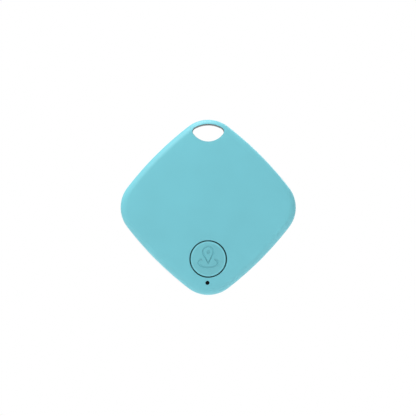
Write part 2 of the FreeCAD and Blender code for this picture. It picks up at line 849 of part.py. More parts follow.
def cell_holder():
    inner = cell_radius + well_gap
    rim = board_back + holder_height
    ear_end = board_back + holder_ear
    body = disc(0, cell_z, holder_outer_radius, board_back, rim)
    ears = []
    for angle, (x, z) in zip(screw_angles, screw_places()):
        reach = holder_outer_radius + screw_gap
        ears.append(spoke(0, cell_z, angle, inner, reach, 2 * holder_ear_radius * 0.8,
                          board_back, ear_end))
        ears.append(disc(x, z, holder_ear_radius, board_back, ear_end))
    holder = join(body, *ears)
    holder = holder.cut(disc(0, cell_z, inner, 0, body_thickness))
    ledge_top = cell_front + cell_step - touch_gap
    ledges = [
        spoke(0, cell_z, a, cell_radius - cell_lip + 0.1, inner + 0.2, ledge_width,
              board_back, ledge_top)
        for a in ledge_angles
    ]
    pins = []
    for side in (1, -1):
        x, z = turned(90 + side * (90 - pin_angle), holder_outer_radius - holder_wall / 2, 0, cell_z)
        pins.append(disc(x, z, pin_radius, board_back - board_thickness * 0.8, board_back + 0.2))
    holder = join(holder, *ledges, *pins)
    for x, z in screw_places():
        holder = holder.cut(disc(x, z, screw_radius + screw_clear, 0, body_thickness))
    notch = block(0, cell_z + cell_radius + 1, nail_notch, 4, board_back + holder_ear, rim + 1)
    clip_slot = block(0, cell_z - cell_radius - 1, clip_width + 2 * air_gap, 4,
                      board_back - 1, rim + 1)
    return holder.cut(notch).cut(clip_slot)


def positive_contact():
    """A sprung blade that bears on the side of the can, with a soldered foot."""
    bear = cell_z - cell_radius - touch_gap
    out = bear - clip_metal
    top = board_back + clip_height
    profile = [(bear, board_back), (bear, top), (bear - clip_flare, top + clip_flare),
               (bear - clip_flare - clip_metal, top + clip_flare),
               (out, top), (out, board_back + clip_metal), (out - clip_foot, board_back + clip_metal),
               (out - clip_foot, board_back)]
    return strip(profile, clip_width, -clip_width / 2, "z")


def negative_contact():
    """A soldered plate with two sprung fingers that rise to the cell's cap."""
    metal = contact_metal
    plate = block(0, cell_z, *finger_plate, board_back, board_back + metal)
    fingers = []
    high = cell_front - touch_gap
    for side in (1, -1):
        root, bend, tip = side * finger_root, side * finger_bend, side * finger_tip
        profile = [(root, board_back), (root, board_back + metal), (bend, high), (tip, high),
                   (tip, high - metal), (bend, high - metal)]
        if side < 0:
            profile.reverse()
        fingers.append(strip(profile, finger_width, cell_z - finger_width / 2, "x"))
    return join(plate, *fingers)


def holder_screws():
    screws = []
    head_front = board_back + holder_ear
    for x, z in screw_places():
        head = disc(x, z, screw_head_radius, head_front, head_front + screw_head_height)
        top = [e for e in head.Edges
               if e.CenterOfMass.y > place(0, 0, head_front + screw_head_height - 0.01).y]
        head = head.makeFillet(screw_head_round, top)
        shaft = disc(x, z, screw_radius, board_front - screw_bite, head_front + 0.1)
        screw = join(head, shaft)
        deep = head_front + screw_head_height - screw_slot_depth
        for width, height in ((screw_slot_length, screw_slot_width),
                              (screw_slot_width, screw_slot_length)):
            screw = screw.cut(block(x, z, width, height, deep, deep + 2))
        screws.append(screw)
    return Part.makeCompound(screws)


# ---------------------------------------------------------------- write the parts


def save(name, shape):
    shape = shape.copy()
    shape.translate(-hang_point)
    for solid in shape.Solids:
        if not solid.isValid() or solid.Volume <= 0:
            raise ValueError("%s is not a sound solid" % name)
    shape.exportStep(os.path.join("parts", name + ".step"))


def main():
    os.makedirs("parts", exist_ok=True)
    stock = case_stock()
    leads = [lead(route) for route in lead_routes()]
    lithium, separator, cathode = cell_layers()
    nodes = {
        "front_shell": front_shell(stock),
        "back_shell": back_shell(stock),
        "button_cap": button_cap(),
        "light_guide": light_guide(),
        "led_base": led_base(),
        "led_lens": led_lens(),
        "switch_base": switch_base(),
        "switch_cover": switch_cover(),
        "switch_plunger": switch_plunger(),
        "switch_dome": switch_dome(),
        "switch_terminals": switch_terminals(),
        "circuit_board": circuit_board(),
        "bluetooth_chip": bluetooth_chip(),
        "main_crystal": crystal(main_crystal_place, main_crystal_size),
        "clock_crystal": crystal(clock_crystal_place, clock_crystal_size),
        "capacitors": capacitors(),
        "resistors": resistors(),
        "boost_inductor": boost_inductor(),
        "bulk_capacitor": bulk_capacitor(),
        "buzzer_driver": buzzer_driver(),
        "driver_leads": driver_leads(),
        "chip_antenna": chip_antenna(),
        "sounder_tape": sounder_tape_ring(),
        "sounder_plate": sounder_disc(),
        "sounder_ceramic": sounder_element(),
        "sounder_lead_live": leads[0],
        "sounder_lead_ground": leads[1],
        "solder_joints": solder_joints(leads),
        "cell_can": cell_can(),
        "cell_cap": cell_cap(),
        "cell_seal": cell_seal(),
        "cell_lithium": lithium,
        "cell_separator": separator,
        "cell_cathode": cathode,
        "cell_holder": cell_holder(),
        "positive_contact": positive_contact(),
        "negative_contact": negative_contact(),
        "holder_screws": holder_screws(),
    }
    for name, shape in nodes.items():
        save(name, shape)
    print("case %.2f thick, %.2f side to side, seam at %.2f" %
          (body_thickness, 2 * half_flats, seam_depth))


main()
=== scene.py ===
import math

import bmesh
import bpy
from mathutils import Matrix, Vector


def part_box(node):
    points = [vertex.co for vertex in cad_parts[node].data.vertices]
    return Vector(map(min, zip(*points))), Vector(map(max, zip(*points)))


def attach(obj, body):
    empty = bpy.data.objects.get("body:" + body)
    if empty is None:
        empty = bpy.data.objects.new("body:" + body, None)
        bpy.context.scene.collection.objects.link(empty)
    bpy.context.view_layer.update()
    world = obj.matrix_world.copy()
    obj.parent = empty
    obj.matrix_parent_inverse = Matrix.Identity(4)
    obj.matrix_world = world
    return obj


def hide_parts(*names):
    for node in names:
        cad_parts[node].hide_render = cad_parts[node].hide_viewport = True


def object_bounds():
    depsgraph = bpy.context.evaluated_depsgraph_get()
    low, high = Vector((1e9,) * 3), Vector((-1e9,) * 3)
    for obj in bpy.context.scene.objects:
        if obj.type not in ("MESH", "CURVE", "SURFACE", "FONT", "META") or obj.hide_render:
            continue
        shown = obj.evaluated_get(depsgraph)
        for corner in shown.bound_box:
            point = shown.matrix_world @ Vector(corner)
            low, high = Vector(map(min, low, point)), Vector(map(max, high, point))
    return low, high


bl_info = {
    "name": "Hanging tracker tag",
    "version": (1, 0, 0),
    "blender": (4, 5, 0),
    "location": "View3D > Sidebar > Tracker tag",
    "description": "Models the case, button, coin cell and stage of a small hanging tracker tag",
    "category": "Add Mesh",
}

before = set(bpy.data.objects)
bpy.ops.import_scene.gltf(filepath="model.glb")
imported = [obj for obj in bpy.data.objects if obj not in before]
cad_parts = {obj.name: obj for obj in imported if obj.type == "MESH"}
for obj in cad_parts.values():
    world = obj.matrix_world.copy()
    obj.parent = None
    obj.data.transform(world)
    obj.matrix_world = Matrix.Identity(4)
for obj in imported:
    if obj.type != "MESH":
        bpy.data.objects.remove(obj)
CAD_BOX = [list(corner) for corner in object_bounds()]
MM = 0.001
SLIVER = 0.0005 * MM     # points nearer than this are one point
FRONT_Y = CAD_BOX[0][1]
BACK_Y = CAD_BOX[1][1]
MIDDLE = (Vector(CAD_BOX[0]) + Vector(CAD_BOX[1])) / 2
SEAM_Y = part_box("front_shell")[1].y


def centre_of(node):
    low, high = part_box(node)
    return (low + high) / 2


BUTTON = centre_of("switch_plunger")
WINDOW = centre_of("light_guide")
CELL = centre_of("cell_can")
SOUNDER = centre_of("sounder_plate")
BOARD_FRONT_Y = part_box("circuit_board")[0].y
LUG_END_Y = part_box("button_cap")[1].y - 0.28 * MM
SEAT_Y = LUG_END_Y - 0.5 * MM
SPAN = CAD_BOX[1][0] * 2     # reaches past the tag on every side
SLIP = 0.05 * MM             # room left round what fits in
COLLAR_WALL = 0.7 * MM       # round the button's hole
SLEEVE_WALL = 0.65 * MM      # round the light window
POST_OFFSET = 1.6 * MM       # from the button's middle line to a lug post's
POST_HALF = 0.35 * MM
SEAT_OUTER = 7.55 * MM       # the ring that the sounder lies on
SEAT_INNER = 6.3 * MM
PILOT_RADIUS = 0.82 * MM     # the blind holes for the screws
PILOT_DEPTH = 2.4 * MM
RIB_OUTER = 8.4 * MM         # the ring that bears on the coin cell
RIB_INNER = 7.6 * MM
PEG_LEAD = 0.25 * MM         # the slope on a peg's end
NOTCH_HALF = 4 * MM
NOTCH_DEPTH = 0.9 * MM


# ---------------------------------------------------------------- settings


def length(name, text, millimetres):
    return bpy.props.FloatProperty(name=name, description=text, default=millimetres * MM,
                                   min=0.0, precision=5, unit="LENGTH", subtype="DISTANCE")


def colour(name, text, value):
    return bpy.props.FloatVectorProperty(name=name, description=text, default=value, size=3,
                                         min=0.0, max=1.0, subtype="COLOR")


def strength(name, text, value):
    return bpy.props.FloatProperty(name=name, description=text, default=value, min=0.0)


def turn(name, text, degrees):
    return bpy.props.FloatProperty(name=name, description=text, default=math.radians(degrees),
                                   unit="ROTATION", subtype="ANGLE")


class TagCaseSettings(bpy.types.PropertyGroup):
    corner_radius: length("Corner radius", "Radius of the four corners of the outline", 9.65)
    side_bow: length("Side bow", "How far each side swells past a straight line", 0.74)
    crown_rise: length("Crown", "How far the button face falls away towards the corners", 1.0)
    edge_round: length("Edge round", "Radius of the outer edge, front and back", 2.2)
    wall: length("Wall", "Thickness of the case's walls", 1.4)
    seam_round: length("Seam round", "Small round on both sides of the seam", 0.1)
    tongue_height: length("Tongue height", "How far the back shell's tongue reaches in", 1.0)
    tongue_wall: length("Rebate wall", "Wall left outside the tongue", 0.7)
    plastic: colour("Case plastic", "Colour of both shells", (0.137, 0.468, 0.540))
    grain: length("Grain", "Size of the moulded grain", 0.16)


class TagEyeSettings(bpy.types.PropertyGroup):
    height: length("Eye height", "From the eye's bottom to its top", 5.2)
    top_radius: length("Top radius", "Radius of the arc over the eye", 8.2)
    bottom_radius: length("Bottom radius", "Radius of the eye's bottom", 5.4)
    corner_round: length("Corner round", "Radius of the eye's two corners", 1.3)
    side_slope: turn("Side slope", "Slope of the eye's two lower sides", 51.0)
    rim_round: length("Rim round", "Round on the eye's front and back edges", 0.2)
    collar: length("Collar", "Wall round the eye inside the case", 1.1)
    shoulder: length("Shoulder", "Depth below the eye's top to which the corner is solid", 3.7)


class TagButtonSettings(bpy.types.PropertyGroup):
    radius: length("Button radius", "Radius of the button", 5.22)
    ring_gap: length("Ring gap", "Width of the gap round the button", 0.32)
    dome_radius: length("Dome radius", "Radius of the button's swelling middle", 4.7)
    dome_rise: length("Dome rise", "How far the middle swells", 0.28)
    edge_round: length("Button edge", "Round on the button's rim", 0.25)
    skirt: length("Skirt", "How far the guide ribs stay under the face", 0.9)
    ring_soft: length("Ring softness", "Round on the hole's edge in the front shell", 0.1)
    line: length("Line width", "Width of the sunk lines", 0.6)
    depth: length("Line depth", "How deep the lines are sunk", 0.2)
    head_up: length("Pin head", "Middle of the pin's head above the button's middle", 2.05)
    head_radius: length("Pin head radius", "Radius of the pin's head", 1.55)
    tip_down: length("Pin tip", "The pin's tip below the button's middle", 1.2)
    pin_eye: length("Pin eye", "Radius of the eye in the pin's head", 0.5)
    ground_up: bpy.props.FloatProperty(name="Ground height", default=-1.15 * MM, unit="LENGTH",
                                       description="Middle of the ground ring above the "
                                       "button's middle", precision=5)
    ground_width: length("Ground width", "Width of the ground ring", 5.8)
    ground_height: length("Ground ring height", "Height of the ground ring", 2.7)
    ground_opening: turn("Ground opening", "How much of the ring is left open", 124.0)
    plastic: colour("Button plastic", "Colour of the button's rim", (0.150, 0.495, 0.565))
    middle: colour("Middle plastic", "Colour of the button's middle", (0.126, 0.425, 0.485))
    window_radius: length("Window radius", "Radius of the light window's hole", 0.6)


class TagPegSettings(bpy.types.PropertyGroup):
    radius: length("Peg radius", "Radius of the four closing pegs", 0.9)
    root_radius: length("Root radius", "Radius of each peg's root", 1.4)
    socket_radius: length("Socket radius", "Outer radius of each peg's socket", 1.6)
    reach: length("Peg length", "Length of each peg", 1.8)
    from_wall: length("From wall", "From a side wall's inside to a peg's axis", 2.4)
    upper_along: length("Upper pegs", "How far the upper pegs stand towards the eye", 3.2)
    lower_along: length("Lower pegs", "How far the lower pegs stand towards the button", 4.2)
    drop: length("Socket drop", "From the seam down to a socket's mouth", 0.2)
    boss_radius: length("Boss radius", "Radius of the screw bosses", 1.9)


class TagCellSettings(bpy.types.PropertyGroup):
    steel: colour("Cell steel", "Colour of the plated can", (0.66, 0.65, 0.63))


class TagStageSettings(bpy.types.PropertyGroup):
    distance: length("Camera distance", "From the camera to the middle of the tag", 480.0)
    view_angle: turn("View angle", "The camera's field of view", 14.73)
    camera_x: bpy.props.FloatProperty(name="Camera across", description="Sideways place of the "
                                      "camera", default=-0.07 * MM, unit="LENGTH", precision=5)
    camera_z: bpy.props.FloatProperty(name="Camera height", description="Height of the camera "
                                      "over the tag's middle", default=-0.18 * MM, unit="LENGTH",
                                      precision=5)
    floor_drop: length("Floor drop", "From the tag's middle down to the floor", 1500.0)
    floor_span: length("Floor span", "Length of the floor's sides", 12000.0)
    floor_colour: colour("Floor", "Colour of the plain floor", (0.93, 0.93, 0.93))
    key_power: strength("Key light", "Soft light from the upper left", 1.5)
    key_distance: length("Key distance", "From the tag's middle to the key light", 380.0)
    top_power: strength("Top light", "Soft light from overhead", 1.9)
    back_power: strength("Back light", "Soft light from behind", 0.8)
    ambient_high: strength("Light overhead", "The surroundings overhead", 0.80)
    ambient_low: strength("Light underneath", "The surroundings underneath", 0.62)


# ---------------------------------------------------------------- modelling by hand


def deselect():
    if bpy.context.object and bpy.context.object.mode != "OBJECT":
        bpy.ops.object.mode_set(mode="OBJECT")
    bpy.ops.object.select_all(action="DESELECT")


def focus(piece):
    deselect()
    piece.select_set(True)
    bpy.context.view_layer.objects.active = piece


def edit(piece):
    focus(piece)
    bpy.ops.object.mode_set(mode="EDIT")


def leave():
    bpy.ops.object.mode_set(mode="OBJECT")


def pick(kind, wanted):
    """Selects the faces, edges or verts of the mesh being edited for which wanted(...) holds."""
    bpy.ops.mesh.select_mode(type={"faces": "FACE", "edges": "EDGE", "verts": "VERT"}[kind])
    bpy.ops.mesh.select_all(action="DESELECT")
    mesh = bmesh.from_edit_mesh(bpy.context.object.data)
    mesh.normal_update()
    count = 0
    for item in getattr(mesh, kind):
        if wanted(item):
            item.select_set(True)
            count += 1
    mesh.select_flush_mode()
    bmesh.update_edit_mesh(bpy.context.object.data)
    if count == 0:
        raise RuntimeError("nothing to select on " + bpy.context.object.name)


def level(y, slack=1e-6):
    """A test for edges or faces that lie wholly at one depth."""
    return lambda item: all(abs(v.co.y - y) < slack for v in item.verts)


def draw(name, y, arcs, closed=True):
    """A line of edges at depth y, spun arc by arc: (x, z, radius, from, to, steps) in degrees."""
    deselect()
    bpy.ops.mesh.primitive_plane_add(size=MM, location=(0, 0, 0))
    piece = bpy.context.object
    piece.name = name
    bpy.ops.object.mode_set(mode="EDIT")
    bpy.ops.mesh.select_mode(type="VERT")
    bpy.ops.mesh.select_all(action="SELECT")
    bpy.ops.mesh.merge(type="CENTER")
    first = here = None
    for x, z, radius, start, end, steps in arcs:
        begin, finish = [Vector((x + radius * math.cos(a), y, z + radius * math.sin(a)))
                         for a in (math.radians(start), math.radians(end))]
        if here is None:
            first = begin
            bpy.ops.transform.translate(value=begin)
        elif (begin - here).length > 2e-6:
            step = begin - here
            bpy.ops.mesh.extrude_region_move(TRANSFORM_OT_translate={"value": step})
        if steps:
            bpy.ops.mesh.spin(steps=steps, angle=math.radians(end - start), center=(x, y, z),
                              axis=(0, 1, 0))
        here = finish
    if closed and (first - here).length > 2e-6:
        bpy.ops.mesh.extrude_region_move(TRANSFORM_OT_translate={"value": first - here})
    bpy.ops.mesh.select_all(action="SELECT")
    bpy.ops.mesh.remove_doubles(threshold=2e-6)
    return piece


def trace(name, y, arcs):
    """A filled outline at depth y, still being edited."""
    piece = draw(name, y, arcs)
    bpy.ops.mesh.edge_face_add()
    return piece


def thicken(depth):
    """Draws the filled outline being edited out along the depth axis into a closed bar."""
    bpy.ops.mesh.select_all(action="SELECT")
    bpy.ops.mesh.extrude_region_move(TRANSFORM_OT_translate={"value": (0, depth, 0)})
    bpy.ops.mesh.select_all(action="SELECT")
    bpy.ops.mesh.normals_make_consistent(inside=False)


def prism(name, arcs, start, end):
    """A closed bar of an outline's shape along the depth axis."""
    piece = trace(name, start, arcs)
    thicken(end - start)
    leave()
    return piece


def flared(name, arcs, surface, soft, end, case=None):
    """A cutter whose mouth opens by a quarter round of radius soft at a surface's depth.

    arcs is the outline already grown by soft. With case, the mouth follows the crowned face.
    """
    way = 1 if end > surface else -1
    piece = trace(name, surface - way * MM, arcs)
    bpy.ops.mesh.extrude_region_move(TRANSFORM_OT_translate={"value": (0, way * MM, 0)})
    steps = 4
    across = down = 0.0
    for step in range(1, steps + 1):
        angle = math.pi / 2 * step / steps
        further = soft * math.sin(angle) - across
        deeper = soft * (1 - math.cos(angle)) - down
        bpy.ops.mesh.inset(thickness=further, use_even_offset=True)
        bpy.ops.transform.translate(value=(0, way * deeper, 0))
        across += further
        down += deeper
    if case:
        mesh = bmesh.from_edit_mesh(piece.data)
        for vertex in mesh.verts:
            if vertex.co.y > surface - 1e-6:
                vertex.co.y += crown_drop(case, vertex.co)
        bmesh.update_edit_mesh(piece.data)
    bpy.ops.mesh.extrude_region_move(
        TRANSFORM_OT_translate={"value": (0, end - surface - way * soft, 0)})
    bpy.ops.mesh.select_all(action="SELECT")
    bpy.ops.mesh.normals_make_consistent(inside=False)
    leave()
    return piece


def circle_arcs(x, z, radius, sides):
    return [(x, z, radius, 90 * quarter, 90 * quarter + 90, sides // 4) for quarter in range(4)]


def bar(name, x, z, radius, start, end, sides=48):
    """A round bar along the depth axis, for cutting or adding."""
    deselect()
    bpy.ops.mesh.primitive_cylinder_add(vertices=sides, radius=radius, depth=end - start,
                                        location=(x, (start + end) / 2, z),
                                        rotation=(math.pi / 2, 0, 0))
    piece = bpy.context.object
    piece.name = name
    settle(piece)
    return piece


def brick(name, low, high):
    deselect()
    low, high = Vector(low), Vector(high)
    bpy.ops.mesh.primitive_cube_add(size=1, location=(low + high) / 2)
    piece = bpy.context.object
    piece.name = name
    piece.scale = high - low
    settle(piece)
    return piece


def settle(piece):
    focus(piece)
    bpy.ops.object.transform_apply(location=True, rotation=True, scale=True)


def apply(piece, kind, **settings):
    focus(piece)
    modifier = piece.modifiers.new(kind.title(), kind)
    for key, value in settings.items():
        setattr(modifier, key, value)
    bpy.ops.object.modifier_apply(modifier=modifier.name)


def combine(piece, tools, operation="DIFFERENCE"):
    """Cuts tools out of a piece, or adds them to it, and removes the tools."""
    for tool in tools:
        apply(piece, "BOOLEAN", object=tool, operation=operation, solver="EXACT")
        bpy.data.objects.remove(tool)
    if not piece.data.polygons:
        raise RuntimeError(piece.name + " was lost in a cut")
    return piece


def close_up(piece):
    """Mends what a cut left behind: doubled points, missing slivers and faces of no area."""
    edit(piece)
    bpy.ops.mesh.select_mode(type="VERT")
    for mend, settings in (
        (bpy.ops.mesh.remove_doubles, {"threshold": SLIVER}),
        (bpy.ops.mesh.fill_holes, {"sides": 0}),
        (bpy.ops.mesh.dissolve_degenerate, {"threshold": SLIVER}),
    ):
        bpy.ops.mesh.select_all(action="SELECT")
        mend(**settings)
    leave()


def finish(piece, body, nodes, slot, material, angle=28.0):
    """Closes a piece: shading, its material, the body it rides on and the nodes it replaces."""
    close_up(piece)
    focus(piece)
    bpy.ops.object.shade_smooth_by_angle(angle=math.radians(angle))
    piece.data.materials.clear()
    piece.data.materials.append(material)
    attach(piece, body)
    if nodes:
        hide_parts(*nodes)
    return piece


# ---------------------------------------------------------------- case outlines


def outline_arcs(case, inset):
    """The case's outline, moved inwards: four corner arcs and four bowed sides."""
    half_span = CAD_BOX[1][0]
    reach = half_span - case.corner_radius
    half_chord = reach / math.sqrt(2)
    half_flats = half_chord + case.corner_radius + case.side_bow
    side_radius = case.corner_radius + (half_chord**2 + case.side_bow**2) / (2 * case.side_bow)
    away = side_radius - half_flats
    spread = math.degrees(math.atan2(away, away + reach * math.sqrt(2)))
    arcs = []
    half = math.degrees(math.atan2(away / math.sqrt(2), reach + away / math.sqrt(2)))
    for quarter in range(4):
        facing = 90 * quarter
        a = math.radians(facing)
        arcs.append((MIDDLE.x + reach * math.cos(a), MIDDLE.z + reach * math.sin(a),
                     case.corner_radius - inset, facing - half, facing + half, 24))
        a += math.pi / 4
        arcs.append((MIDDLE.x - away * math.cos(a), MIDDLE.z - away * math.sin(a),
                     side_radius - inset, facing + half, facing + 90 - half, 24))
    return arcs


def eye_arcs(eye, grow, steps=16):
    """The eye's outline, grown: round bottom, sloping sides, rounded corners, arc over the top."""
    slope = eye.side_slope
    bottom_z = eye.bottom_radius - eye.height
    top_z = -eye.top_radius
    normal = Vector((math.sin(slope), -math.cos(slope)))
    along = Vector((math.cos(slope), math.sin(slope)))
    foot = Vector((0, bottom_z)) + (eye.bottom_radius - eye.corner_round) * normal
    foot -= Vector((0, top_z))
    b = foot.dot(along)
    c = foot.length_squared - (eye.top_radius - eye.corner_round)**2
    corner = foot + along * (math.sqrt(b * b - c) - b)
    lift = math.degrees(math.atan2(corner.y, corner.x))
    down = math.degrees(slope) - 90
    cz = corner.y + top_z
    return [
        (0, bottom_z, eye.bottom_radius + grow, -180 - down, down, steps),
        (corner.x, cz, eye.corner_round + grow, down, lift, steps // 2),
        (0, top_z, eye.top_radius + grow, lift, 180 - lift, 2 * steps),
        (-corner.x, cz, eye.corner_round + grow, 180 - lift, 180 - down, steps // 2),
    ]


def crown_drop(case, co):
    """How far the button face has fallen away at a place."""
    radius = (CAD_BOX[1][0]**2 + case.crown_rise**2) / (2 * case.crown_rise)
    away = math.hypot(co.x - MIDDLE.x, co.z - MIDDLE.z)
    return radius - math.sqrt(radius**2 - away**2)


def front_block(name, case, inset, end):
    """A solid pillow from the crowned button face to a depth, moved inwards by inset."""
    start = FRONT_Y + inset
    block = trace(name, start, outline_arcs(case, inset))
    thicken(end - start)
    pick("faces", level(start))
    rounding = case.edge_round - inset
    bpy.ops.mesh.inset(thickness=rounding + 0.8 * MM, use_even_offset=True)
    for thickness in (1.5, 1.9):
        bpy.ops.mesh.inset(thickness=thickness * MM, use_even_offset=True)
    for scale in (0.86, 0.84, 0.82, 0.78, 0.72, 0.6, 0.4):
        bpy.ops.mesh.inset(thickness=0.0)
        bpy.ops.transform.resize(value=(scale, 1, scale), center_override=MIDDLE)
    mesh = bmesh.from_edit_mesh(block.data)
    for vertex in mesh.verts:
        if abs(vertex.co.y - start) < 1e-6:
            vertex.co.y += crown_drop(case, vertex.co)
    bmesh.update_edit_mesh(block.data)
    half = (start + end) / 2

    def rim(edge):
        walls = [abs(f.normal.y) < 0.5 for f in edge.link_faces]
        return max(v.co.y for v in edge.verts) < half and walls.count(True) == 1

    pick("edges", rim)
    slope = CAD_BOX[1][0] / (CAD_BOX[1][0]**2 / (2 * case.crown_rise))
    bpy.ops.mesh.bevel(offset=rounding / math.tan(math.pi / 4 + slope / 2), segments=12,
                       profile=0.5, affect="EDGES", clamp_overlap=False)
    leave()
    return block


def back_block(name, case, inset, start, end):
    """A solid tray from a depth to the flat back, with a round edge."""
    block = trace(name, start, outline_arcs(case, inset))
    thicken(end - start)
    rounding = case.edge_round - inset
    pick("edges", level(end))
    bpy.ops.mesh.bevel(offset=rounding, segments=12, profile=0.5, affect="EDGES",
                       clamp_overlap=False)
    pick("faces", level(end))
    bpy.ops.mesh.inset(thickness=0.5 * MM, use_even_offset=True)
    leave()
    return block


def soften_seam(block, case, y):
    """A tiny round on a shell's outer edge where the two shells meet."""
    edit(block)
    pick("edges", level(y))
    bpy.ops.mesh.bevel(offset=case.seam_round, segments=2, profile=0.5, affect="EDGES")
    leave()


def face_depth(case, button, away):
    """Depth of the button's face at a place measured from its middle."""
    spot = Vector((BUTTON.x + away.x, 0, BUTTON.z + away.y))
    depth = FRONT_Y + crown_drop(case, spot)
    if away.length < button.dome_radius:
        swell = (button.dome_radius**2 + button.dome_rise**2) / (2 * button.dome_rise)
        depth -= math.sqrt(swell**2 - away.length_squared) - (swell - button.dome_rise)
    return depth


def side_distance(case):
    """From the middle of the tag to the outside of its four sides."""
    reach = CAD_BOX[1][0] - case.corner_radius
    return reach / math.sqrt(2) + case.corner_radius + case.side_bow


def peg_places(case, pegs):
    away = side_distance(case) - case.wall - pegs.from_wall
    places = []
    for side in (1, -1):
        for up, along in ((1, pegs.upper_along), (-1, pegs.lower_along)):
            places.append((MIDDLE.x + side * (away - along) / math.sqrt(2),
                           MIDDLE.z + up * (away + along) / math.sqrt(2)))
    return places


def screw_places():
    """The axes of the four screws, from the parts of the screws' node that lie apart."""
    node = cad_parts["holder_screws"]
    tops = sorted({(round(v.co.x, 4), round(v.co.z, 4)) for v in node.data.vertices})
    groups = []
    for x, z in tops:
        for group in groups:
            if math.hypot(group[0][0] - x, group[0][1] - z) < 3.5 * MM:
                group.append((x, z))
                break
        else:
            groups.append([(x, z)])
    places = []
    for group in groups:
        xs, zs = [p[0] for p in group], [p[1] for p in group]
        places.append(((min(xs) + max(xs)) / 2, (min(zs) + max(zs)) / 2))
    return places


# ---------------------------------------------------------------- materials


class Nodes:
    """A small helper that adds shader nodes and links them in the order they are written."""

    def __init__(self, name):
        old = bpy.data.materials.get(name)
        if old:
            bpy.data.materials.remove(old)
        self.material = bpy.data.materials.new(name)
        self.material.use_nodes = True
        self.tree = self.material.node_tree
        self.shader = self.tree.nodes["Principled BSDF"]
        coordinates = self.tree.nodes.new("ShaderNodeTexCoord")
        self.place = coordinates.outputs["Object"]

    def add(self, kind, settings=None, **inputs):
        node = self.tree.nodes.new(kind)
        for key, value in (settings or {}).items():
            setattr(node, key, value)
        for key, value in inputs.items():
            self.feed(node.inputs[key.replace("_", " ")], value)
        return node

    def feed(self, socket, value):
        if isinstance(value, bpy.types.NodeSocket):
            self.tree.links.new(value, socket)
        else:
            socket.default_value = value

    def set(self, **inputs):
        for key, value in inputs.items():
            self.feed(self.shader.inputs[key.replace("_", " ")], value)
        return self.material

    def stretched(self, scale, centre=(0, 0, 0)):
        node = self.add("ShaderNodeMapping", Vector=self.place, Scale=scale)
        node.inputs["Location"].default_value = [-c * s for c, s in zip(centre, scale)]
        return node.outputs["Vector"]

    def distance(self, centre):
        """The distance to the axis that runs through a centre along the depth."""
        flat = self.stretched((1, 0, 1), (centre.x, 0, centre.z))
        node = self.add("ShaderNodeVectorMath", {"operation": "LENGTH"})
        self.tree.links.new(flat, node.inputs[0])
        return node.outputs["Value"]

    def noise(self, size, detail=3.0, roughness=0.55, vector=None):
        return self.add("ShaderNodeTexNoise", Vector=vector or self.place, Scale=1 / size,
                        Detail=detail, Roughness=roughness).outputs["Fac"]

    def ramp(self, factor, low, high, from_value=0.0, to_value=1.0):
        node = self.add("ShaderNodeMapRange", Value=factor)
        node.inputs["From Min"].default_value = low
        node.inputs["From Max"].default_value = high
        node.inputs["To Min"].default_value = from_value
        node.inputs["To Max"].default_value = to_value
        return node.outputs["Result"]

    def mix(self, factor, first, second):
        node = self.add("ShaderNodeMix", {"data_type": "RGBA"})
        self.feed(node.inputs["Factor"], factor)
        for socket, value in ((node.inputs[6], first), (node.inputs[7], second)):
            if not isinstance(value, bpy.types.NodeSocket) and len(value) == 3:
                value = (*value, 1.0)
            self.feed(socket, value)
        return node.outputs[2]

    def maths(self, operation, first, second=0.0):
        node = self.add("ShaderNodeMath", {"operation": operation})
        self.feed(node.inputs[0], first)
        self.feed(node.inputs[1], second)
        return node.outputs[0]

    def painted_crevice_shade(self, colour, reach, keep, clear=0.85):
        """Painted shade: darkens a colour in narrow gaps, sunk lines and deep holes, where ambient
        occlusion finds little open sky.
        """
        open_sky = self.add("ShaderNodeAmbientOcclusion", {"samples": 16}, Distance=reach)
        return self.mix(self.ramp(open_sky.outputs["AO"], 0.25, clear), shade(colour, keep)
                        if not isinstance(colour, bpy.types.NodeSocket)
                        else self.dimmed(colour, keep), colour)

    def dimmed(self, colour, keep):
        node = self.add("ShaderNodeHueSaturation", Color=colour, Value=keep)
        return node.outputs["Color"]

    def bump(self, height, distance, strength=1.0):
        node = self.add("ShaderNodeBump", Height=height, Distance=distance, Strength=strength)
        return node.outputs["Normal"]


def shade(value, factor):
    return tuple(min(1.0, channel * factor) for channel in value)


def moulded_plastic(name, tone, grain, roughness=0.46, bump_depth=0.004 * MM, wear=0.5):
    """Satin moulded plastic: spark-eroded grain, faint flow clouds, rubbed places, and painted
    shade in gaps, holes and sunk lines.
    """
    n = Nodes(name)
    clouds = n.ramp(n.noise(14 * MM, 2.0), 0.3, 0.7)
    base = n.mix(clouds, shade(tone, 0.975), shade(tone, 1.025))
    fine = n.noise(grain, 4.0, 0.6)
    coarse = n.noise(grain * 2.7, 2.0)
    rubbed = n.ramp(n.noise(7 * MM, 5.0, 0.65), 0.55, 0.8)
    rough = n.ramp(fine, 0.25, 0.75, roughness - 0.05, roughness + 0.05)
    rough = n.maths("SUBTRACT", rough, n.maths("MULTIPLY", rubbed, 0.08 * wear))
    height = n.maths("ADD", fine, n.maths("MULTIPLY", coarse, 0.6))
    # Painted shade: the colour darkens nearly to black on walls deep in holes and gaps, such as the
    # eye's walls.
    return n.set(Base_Color=n.painted_crevice_shade(base, 7 * MM, 0.05, 0.95), Roughness=rough,
                 Normal=n.bump(height, bump_depth, 0.6))


def brushed_metal(name, tone, roughness, stroke, direction=(1, 30, 30), tarnish=0.06):
    """Rolled or brushed metal: long fine strokes and faint tarnish."""
    n = Nodes(name)
    strokes = n.noise(stroke, 3.0, 0.6, n.stretched(direction))
    cloud = n.ramp(n.noise(3 * MM, 4.0, 0.6), 0.4, 0.75)
    base = n.mix(cloud, tone, shade(tone, 1 - tarnish))
    rough = n.ramp(strokes, 0.3, 0.7, roughness - 0.06, roughness + 0.08)
    return n.set(Base_Color=base, Roughness=rough, Metallic=1.0,
                 Normal=n.bump(strokes, 0.003 * MM, 0.5))


